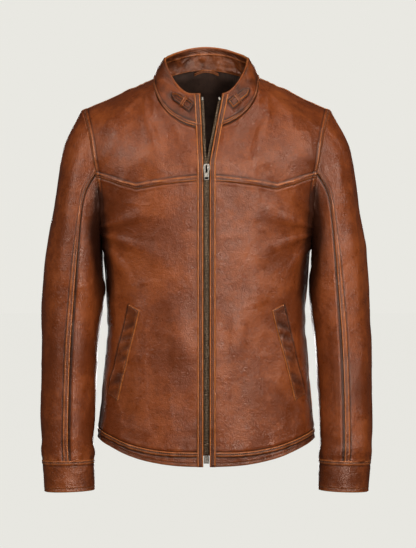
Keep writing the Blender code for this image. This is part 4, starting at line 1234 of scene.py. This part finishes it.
def build_pockets(stitches):
    for side in (LEFT, RIGHT):
        name, flip = SIDE_NAME[side], side == RIGHT

        def welt_place(u, v, side=side):
            spot = welt_corner(1 - u, 1 - v)
            return on_front(spot[..., 0], spot[..., 1], np.full(u.shape, WELT_RISE), side)

        welt = Panel(welt_place, 34, 130, flip=flip)
        welt.raise_by(torso_folds(welt.base, False) + crumple(welt.base, 1))
        sewn = np.minimum.reduce([welt.edge[k] for k in ("near", "low", "high")])
        opening = welt.edge["far"]
        relief = bells(sewn, (-0.0022, 0, 0.0007), (-0.0006, 0.0030, 0.0006))
        relief = relief + 0.0006 * bell(opening, 0.0012, 0.0014)
        wear_and_shade = bells(sewn, (1.0, 0.0009, 0.0010), (0.55, 0.0044, 0.0008), (-0.75, 0.0028, 0.0007))
        welt.raise_by(relief + 0.0008 * smooth(sewn, -0.0004, 0.0014),
                      wear_and_shade + 0.35 * bell(opening, 0.0010, 0.0012) - 0.26)
        slanted = stack(welt.edge["low"] / 0.010 + welt.edge["near"] / 0.012, welt.edge["near"] / 0.030, 0)
        ripple = noise(slanted, 1.0, 97) * smooth(sewn, 0.002, 0.006)
        welt.raise_by(0.0007 * ripple, 0.30 * ripple)
        for edge in ("near", "low", "high"):
            stitches.sew(welt.line(edge, 0.0029))
        declare(finish(welt, f"pocket_welt_{name}", TRIM, 0.0022), welt)

        def bag_place(u, v, side=side):
            turn = 2 * np.pi * u
            close = np.cos(np.pi / 2 * np.minimum(v, 0.995)) ** 0.5
            middle = welt_corner(np.full(u.shape, 0.35), mix(0.5, 0.54, v))
            across = np.array(0.35)
            slant = unit(welt_corner(across, np.array(0.0)) - welt_corner(across, np.array(1.0)))
            spot = middle + slant * (BAG_MOUTH / 2 * np.cos(turn) * close)[..., None]
            lift = 0.8 * BAG_FULL / 2 * np.sin(turn) * close - BAG_DEPTH - 0.0012
            return on_front(spot[..., 0] - BAG_REACH * v, spot[..., 1], lift, side)

        bag = Panel(bag_place, 80, 40, flip=flip, loop=True)
        declare(finish(bag, f"pocket_bag_{name}", LINING), bag)


# ---- lining and facings ----
def build_lining():
    def inner(_):
        return FACING_HALF - 0.004

    def pocket_room(u, v):
        up = np.where(v < POCKET_ROOM_TOP, np.sin(np.pi * np.minimum(v / POCKET_ROOM_TOP, 1.0)), 0.0)
        up = np.sqrt(np.maximum(up, 0.0))
        room = POCKET_ROOM * up * np.minimum(1.0, 0.5 + 8 * u) * smooth(0.92 - u, 0, 0.25)
        return LINING_DEPTH + 0.0012 + room

    def hem(x):
        return hem_seam_z(x) - 0.004

    for side in (LEFT, RIGHT):
        low = lower_place(side, inner, hem, underarm)
        high = shoulder_place(side, inner, underarm, math.pi)
        cloth = Panel(stacked(low, high, 0.5), 70, 150, depth=pocket_room, flip=side == RIGHT)
        keep_off(cloth, False, 0.001)
        finish_lining(cloth, f"lining_front_{SIDE_NAME[side]}")
    low = lower_place(LEFT, None, hem, underarm, behind=True)
    high = shoulder_place(LEFT, None, underarm, math.pi, behind=True)
    cloth = Panel(stacked(low, high, 0.5), 160, 170, depth=LINING_DEPTH + 0.0012, flip=True)
    keep_off(cloth, True, 0.001)
    near_neck = 1 - smooth(np.abs(cloth.base[..., 0]), 0.050, 0.086)
    near_neck = near_neck * (1 - smooth(cloth.edge["high"], 0.0, 0.030))
    lean = unit(collar_place(np.array(0.5), np.array(1.0)) - collar_place(np.array(0.5), np.array(0.0)))
    cloth.points = cloth.points + (lean * LINING_RISE - cloth.normals * 0.0012) * near_neck[..., None]
    finish_lining(cloth, "lining_back")


def finish_lining(cloth, node):
    """Loose cloth: long soft folds that hang down, sunk inward so that they stay clear of the leather."""
    hang = noise(cloth.base * np.array([1, 1, 0.30]), 0.026, 91)
    slack = noise(cloth.base * np.array([0.5, 1, 1.4]), 0.020, 93)
    free = smooth(cloth.edge["high"], 0.0, 0.012) * smooth(cloth.edge["low"], 0.0, 0.02)
    cloth.raise_by((0.0026 * hang + 0.0022 * slack - 0.0034) * free, -0.3 * hang - 0.3 * slack)
    declare(finish(cloth, node, LINING), cloth)


def build_front_edges(stitches):
    for side in (LEFT, RIGHT):
        name, flip = SIDE_NAME[side], side == RIGHT
        strip = strip_place(side, 0.0, PLACKET, HEM_CENTRE_Z, COLLAR_FRONT_Z - 0.001)
        placket = Panel(strip, 24, 420, depth=-PLACKET_LIFT, flip=flip)
        near, far = placket.edge["near"], placket.edge["far"]
        relief = bells(near, (-0.0018, 0, 0.0008), (0.0006, 0.0011, 0.0009), (-0.0007, 0.0028, 0.0008),
                       (0.0004, 0.0056, 0.0018))
        relief = relief + bells(far, (-0.0006, 0.0038, 0.0007), (0.0005, 0.0020, 0.0009),
                                (-0.0026, 0, 0.0009))
        wear_and_shade = bells(near, (1.15, 0.0010, 0.0013), (-1.05, 0.0034, 0.0010))
        wear_and_shade = wear_and_shade + bells(far, (1.10, 0.0019, 0.0012), (-0.80, 0.0042, 0.0008), (-1.0, 0, 0.0007))
        placket.raise_by(0.6 * crumple(placket.base, 1) + relief, wear_and_shade)
        pucker(placket, "near", 0.008, 0.009, 0.0006, 95)
        stitches.sew(placket.line("near", 0.0030))
        stitches.sew(placket.line("far", 0.0037))
        declare(finish(placket, f"placket_{name}", TRIM), placket)

        strip = strip_place(side, -0.0017, 0.0090, ZIP_FOOT_Z + 0.001, ZIP_TOP_Z - 0.006)
        tape = Panel(strip, 10, 420, depth=TAPE_DEPTH, flip=flip)
        tape.raise_by(0.0002 * np.sin(tape.edge["near"] * 2 * np.pi / 0.0022))
        declare(finish(tape, f"zip_tape_{name}", TAPE), tape)

        strip = strip_place(side, 0.0012, FACING_HALF - ZIP_HALF - 0.006, HEM_CENTRE_Z + 0.002,
                            -NECK_DROP - 0.006)
        facing = Panel(strip, 40, 300, depth=FACING_DEPTH, flip=flip)
        facing.raise_by(-0.4 * crumple(facing.base, 13),
                        bells(facing.edge["near"], (0.6, 0.001, 0.0012), (-0.4, 0.004, 0.001)))
        declare(finish(facing, f"front_facing_{name}", INSIDE), facing)


# ---- zip ----
def box_block(half, centre, chamfer=0.28):
    """Points and faces of a box about a centre, its four upright edges cut off."""
    cut = 1 - chamfer
    ring = ((1, cut), (cut, 1), (-cut, 1), (-1, cut), (-1, -cut), (-cut, -1), (cut, -1), (1, -cut))
    points = np.array([(x, y, z) for z in (-1, 1) for x, y in ring]) * np.array(half) + np.array(centre)
    return points, grid_faces(2, 8, False, True) + [list(range(8))[::-1], list(range(8, 16))]


def curve_form(paths, closed, **settings):
    """(points, faces) of the solid that a curve draws round its paths."""
    curve = bpy.data.curves.new("drawn", "CURVE")
    for key, value in settings.items():
        setattr(curve, key, value)
    for path in paths:
        spline = curve.splines.new("POLY")
        spline.points.add(len(path) - 1)
        spline.use_cyclic_u = closed
        for spot, place in zip(spline.points, path):
            spot.co = (*place, 1)
    drawn = bpy.data.objects.new("drawn", curve)
    mesh = bpy.data.meshes.new_from_object(drawn)
    flat = np.empty(len(mesh.vertices) * 3)
    mesh.vertices.foreach_get("co", flat)
    bpy.data.objects.remove(drawn)
    return flat.reshape(-1, 3), [list(face.vertices) for face in mesh.polygons]


def bead_line(z, side):
    point = front_strip(zip_edge(z, side), z, side)
    x = zip_edge(z, side) - ZIP_HALF + BEAD_X
    return stack(side * x, point[..., 1] + 0.0010, z)


def build_teeth():
    """Moulded teeth, each a shank on the tape and a wider head, the two rows half a pitch apart."""
    for side in (LEFT, RIGHT):
        foot = ZIP_FOOT_Z + (0.022 if side == LEFT else 0.003)
        heights = np.arange(foot + (0 if side == LEFT else TOOTH_PITCH / 2), ZIP_TOP_Z - 0.012, TOOTH_PITCH)
        centres = bead_line(heights, side)
        points, faces, count = [], [], 0
        for x, y, z in centres:
            for half, shift in (((0.0013, 0.0013, 0.00052), 0.0006), ((0.0009, 0.0016, 0.00066), -0.0014)):
                block, block_faces = box_block(half, (x + side * shift, y, z))
                points.append(block)
                faces.extend([[corner + count for corner in face] for face in block_faces])
                count += len(block)
        made = mesh_object(f"zip_teeth_{SIDE_NAME[side]}_bronze", np.concatenate(points), faces, BRONZE)
        made.data.shade_flat()
        settle(made, "jacket", "zip_teeth", f"zip_teeth_{SIDE_NAME[side]}")


def outline_plate(name, loops, y, thickness, skin, body, *nodes, edge=0.0003):
    """A flat plate facing front, from loops of (x, z), with rounded edges."""
    paths = [[(x, z, 0) for x, z in loop] for loop in loops]
    flat, faces = curve_form(paths, True, dimensions="2D", fill_mode="BOTH", extrude=thickness / 2 - edge,
                             bevel_depth=edge, bevel_resolution=2, offset=-edge)
    points = np.stack([flat[:, 0], y - flat[:, 2], flat[:, 1]], axis=-1)
    return settle(mesh_object(name, points, faces, skin), body, "hardware", *nodes)


def rounded(left, right, low, high, corner, steps=5):
    centres = ((right - corner, high - corner, 0), (left + corner, high - corner, 1),
               (left + corner, low + corner, 2), (right - corner, low + corner, 3))
    return [(cx + corner * math.cos((q + k / steps) * math.pi / 2),
             cz + corner * math.sin((q + k / steps) * math.pi / 2))
            for cx, cz, q in centres for k in range(steps + 1)]


def bar(name, points, radius, skin, body, *nodes, flatten=1.0):
    """A round bar along points, its width across times flatten."""
    points, faces = curve_form([points], False, dimensions="3D", bevel_depth=radius, bevel_resolution=4,
                               use_fill_caps=True)
    made = mesh_object(name, points * np.array([flatten, 1, 1]), faces, skin)
    return settle(made, body, "hardware", *nodes)


def build_slider():
    plate_y = FRONT_Y - PLACKET_LIFT - 0.0005
    half = SLIDER_LENGTH / 2
    low, high = SLIDER_Z - half, SLIDER_Z + half
    flank = [(0.0055, SLIDER_Z - 0.0010), (0.0058, high - 0.0030), (0.0050, high - 0.0008), (0.0030, high)]
    foot = [(0.0032, low), (0.0043, low + 0.0014)]
    right = foot + flank
    outline = right + [(-x, z) for x, z in right[::-1]]
    outline_plate("zip_slider_plate", [outline], plate_y - 0.0006, 0.0013, NICKEL,
                  "zip_slider_body", "zip_slider")
    outline_plate("zip_slider_back", [rounded(-0.0050, 0.0050, low, high, 0.0018)], FRONT_Y + 0.0044, 0.0011,
                  NICKEL, "zip_slider_body")
    post = rounded(-0.0006, 0.0006, SLIDER_Z, high - 0.0015, 0.0004)
    outline_plate("zip_slider_post", [post], FRONT_Y + 0.0004, 0.0086, NICKEL, "zip_slider_body", edge=0.0001)
    for side in (LEFT, RIGHT):
        rail = [(side * x, plate_y + 0.0002, z)
                for x, z in ((0.0059, high - 0.0032), (0.0056, SLIDER_Z - 0.0010), (0.0044, low + 0.0014))]
        bar(f"zip_slider_rail_{SIDE_NAME[side]}", rail, 0.0006, NICKEL, "zip_slider_body")
    reach = BAIL_GAP + 0.0008
    arch = [(0, plate_y - 0.0010 - reach * math.sin(math.pi * k / 16) ** 0.6,
             mix(high - 0.0030, SLIDER_Z - 0.0026, k / 16)) for k in range(17)]
    # The bail is drawn in near black, painted shade for the dark gap under it.
    bar("zip_slider_bail", arch, 0.00085, HOLE_SHADE, "zip_slider_body", flatten=1.35)

    hinge_z = SLIDER_Z - 0.0003
    top, foot = hinge_z + 0.0007, hinge_z - PULL_LENGTH
    slot = rounded(-0.0017, 0.0017, hinge_z - 0.0074, hinge_z - 0.0006, 0.0006)
    eye = rounded(-0.0034, 0.0034, foot + 0.0015, foot + 0.0048, 0.0014)
    pull_y = plate_y - 0.0012 - BAIL_GAP / 2
    outer = rounded(-0.0046, 0.0046, foot, top, 0.0014)
    outline_plate("zip_pull_tab", [outer, slot[::-1], eye[::-1]], pull_y, 0.0013, NICKEL,
                  "zip_pull_body", "zip_pull")
    # Near black plates in the pull's slot and eye: painted shade in the holes.
    for part, hole in (("slot", slot), ("eye", eye)):
        outline_plate(f"zip_pull_{part}", [hole], pull_y + 0.0004, 0.0003, HOLE_SHADE, "zip_pull_body",
                      edge=0.00005)
    rim = rounded(-0.0037, 0.0037, foot + 0.0056, hinge_z - 0.0078, 0.0012)
    rim = [(x, pull_y - 0.00066, z) for x, z in rim + rim[:1]]
    bar("zip_pull_rim", rim, 0.00018, NICKEL, "zip_pull_body")


def build_zip_ends():
    box_y = FRONT_Y + 0.0010
    foot = ZIP_FOOT_Z - 0.013
    box = rounded(-0.0046, 0.0046, foot, ZIP_FOOT_Z, 0.0010)
    outline_plate("zip_box_nickel", [box], box_y, 0.0036, NICKEL, "jacket", "zip_retainer_box", edge=0.0004)
    rim = rounded(-0.0032, 0.0032, foot + 0.0022, ZIP_FOOT_Z - 0.0022, 0.0008)
    bar("zip_box_rim", [(x, box_y - 0.0018, z) for x, z in rim + rim[:1]], 0.00025, NICKEL, "jacket")
    pin = [(BEAD_X, box_y, z) for z in (ZIP_FOOT_Z - 0.004, ZIP_FOOT_Z + 0.0214)]
    bar("zip_pin_nickel", pin, 0.00105, BRONZE, "jacket", "zip_insertion_pin")
    for side in (LEFT, RIGHT):
        x, y, z = bead_line(np.array(ZIP_TOP_Z - 0.010), side)
        loop = rounded(x - 0.0017, x + 0.0017, z - 0.0004, z + 0.0054, 0.0007)
        name = SIDE_NAME[side]
        outline_plate(f"zip_stop_{name}_nickel", [loop], float(y) - 0.0002, 0.0030, NICKEL, "jacket",
                      f"zip_top_stop_{name}", edge=0.0004)


# ---- studio ----
PALE = (0.815, 0.807, 0.7605)
ROOM_LIGHT = 0.05
LIGHTS = (                   # name, place, width, height, watts
    ("key_light", (0.78, -2.6, 0.05), 0.40, 0.55, 29),
    ("near_light", (0.06, -2.7, -0.34), 0.20, 0.26, 11),
    ("left_light", (-1.20, -2.2, 0.45), 0.40, 0.60, 6),
    ("side_light_left", (2.1, -1.5, 0.50), 0.60, 0.90, 28),
    ("side_light_right", (-2.1, -1.5, 0.70), 0.60, 0.90, 25),
    ("high_light", (0.45, -2.0, 1.75), 0.70, 0.50, 24),
    ("top_light", (0.0, -0.1, 2.2), 1.20, 0.70, 8),
    ("back_light", (0.0, 3.2, -0.40), 1.40, 1.40, 40),
)


def build_studio():
    """A pale floor and backdrop of one colour, and soft lights in front of and above the jacket."""
    floor = Skin("studio_floor")
    tint = floor.blend(floor.mottle(1.5), (0.030, 0.030, 0.028), (0.034, 0.034, 0.032))
    floor.tree.links.new(tint, floor.shader.inputs["Base Color"])
    for socket, value in (("Roughness", 0.95), ("Specular IOR Level", 0.0), ("Emission Color", (*PALE, 1)),
                          ("Emission Strength", 0.985)):
        floor.shader.inputs[socket].default_value = value
    reach, floor_z = 14.0, CUFF_END_Z - 0.45
    points = np.array([(x, y, floor_z) for y in (-reach, reach) for x in (-reach, reach)])
    plane = mesh_object("studio_floor", points, [[0, 1, 3, 2]], floor.made)
    plane.visible_diffuse = plane.visible_glossy = False

    world = bpy.data.worlds.new("studio")
    world.use_nodes = True
    tree = world.node_tree
    backdrop = tree.nodes["Background"]
    backdrop.inputs["Color"].default_value = (*PALE, 1)
    room = put(tree, "ShaderNodeBackground", {"Color": (0.80, 0.80, 0.78, 1), "Strength": ROOM_LIGHT})
    seen = put(tree, "ShaderNodeLightPath", {}).outputs["Is Camera Ray"]
    both = put(tree, "ShaderNodeMixShader", {0: seen, 1: room.outputs[0], 2: backdrop.outputs[0]})
    tree.links.new(both.outputs[0], tree.nodes["World Output"].inputs["Surface"])
    bpy.context.scene.world = world
    bpy.context.scene.view_settings.view_transform = "Standard"

    target = Vector((0, 0, -0.33))
    for name, place, width, height, power in LIGHTS:
        lamp = bpy.data.lights.new(name, "AREA")
        lamp.shape = "RECTANGLE"
        lamp.size, lamp.size_y = width, height
        lamp.energy = power
        lamp.color = (1.0, 0.985, 0.965)
        holder = bpy.data.objects.new(name, lamp)
        holder.location = place
        holder.rotation_euler = (target - Vector(place)).to_track_quat("-Z", "Y").to_euler()
        holder.visible_camera = False
        bpy.context.scene.collection.objects.link(holder)


def build_camera():
    lens = bpy.data.cameras.new("camera")
    distance = 10.0
    lens.sensor_width = 36
    lens.lens = lens.sensor_width * distance / FRAME_HEIGHT
    holder = bpy.data.objects.new("camera", lens)
    rise = math.radians(2.7)
    aim = Vector((0.0026, -0.03, -0.3350))
    holder.location = aim + Vector((0, -distance * math.cos(rise), distance * math.sin(rise)))
    holder.rotation_euler = (aim - holder.location).to_track_quat("-Z", "Y").to_euler()
    bpy.context.scene.collection.objects.link(holder)
    bpy.context.scene.camera = holder


BODY_STITCHES = Stitches()
build_torso(BODY_STITCHES)
build_sleeves()
build_collar(BODY_STITCHES)
build_hanger_loop(BODY_STITCHES)
build_pockets(BODY_STITCHES)
build_lining()
build_front_edges(BODY_STITCHES)
settle(BODY_STITCHES.build("stitching_body", THREAD), "jacket", "leather")
build_teeth()
build_slider()
build_zip_ends()
build_studio()
build_camera()
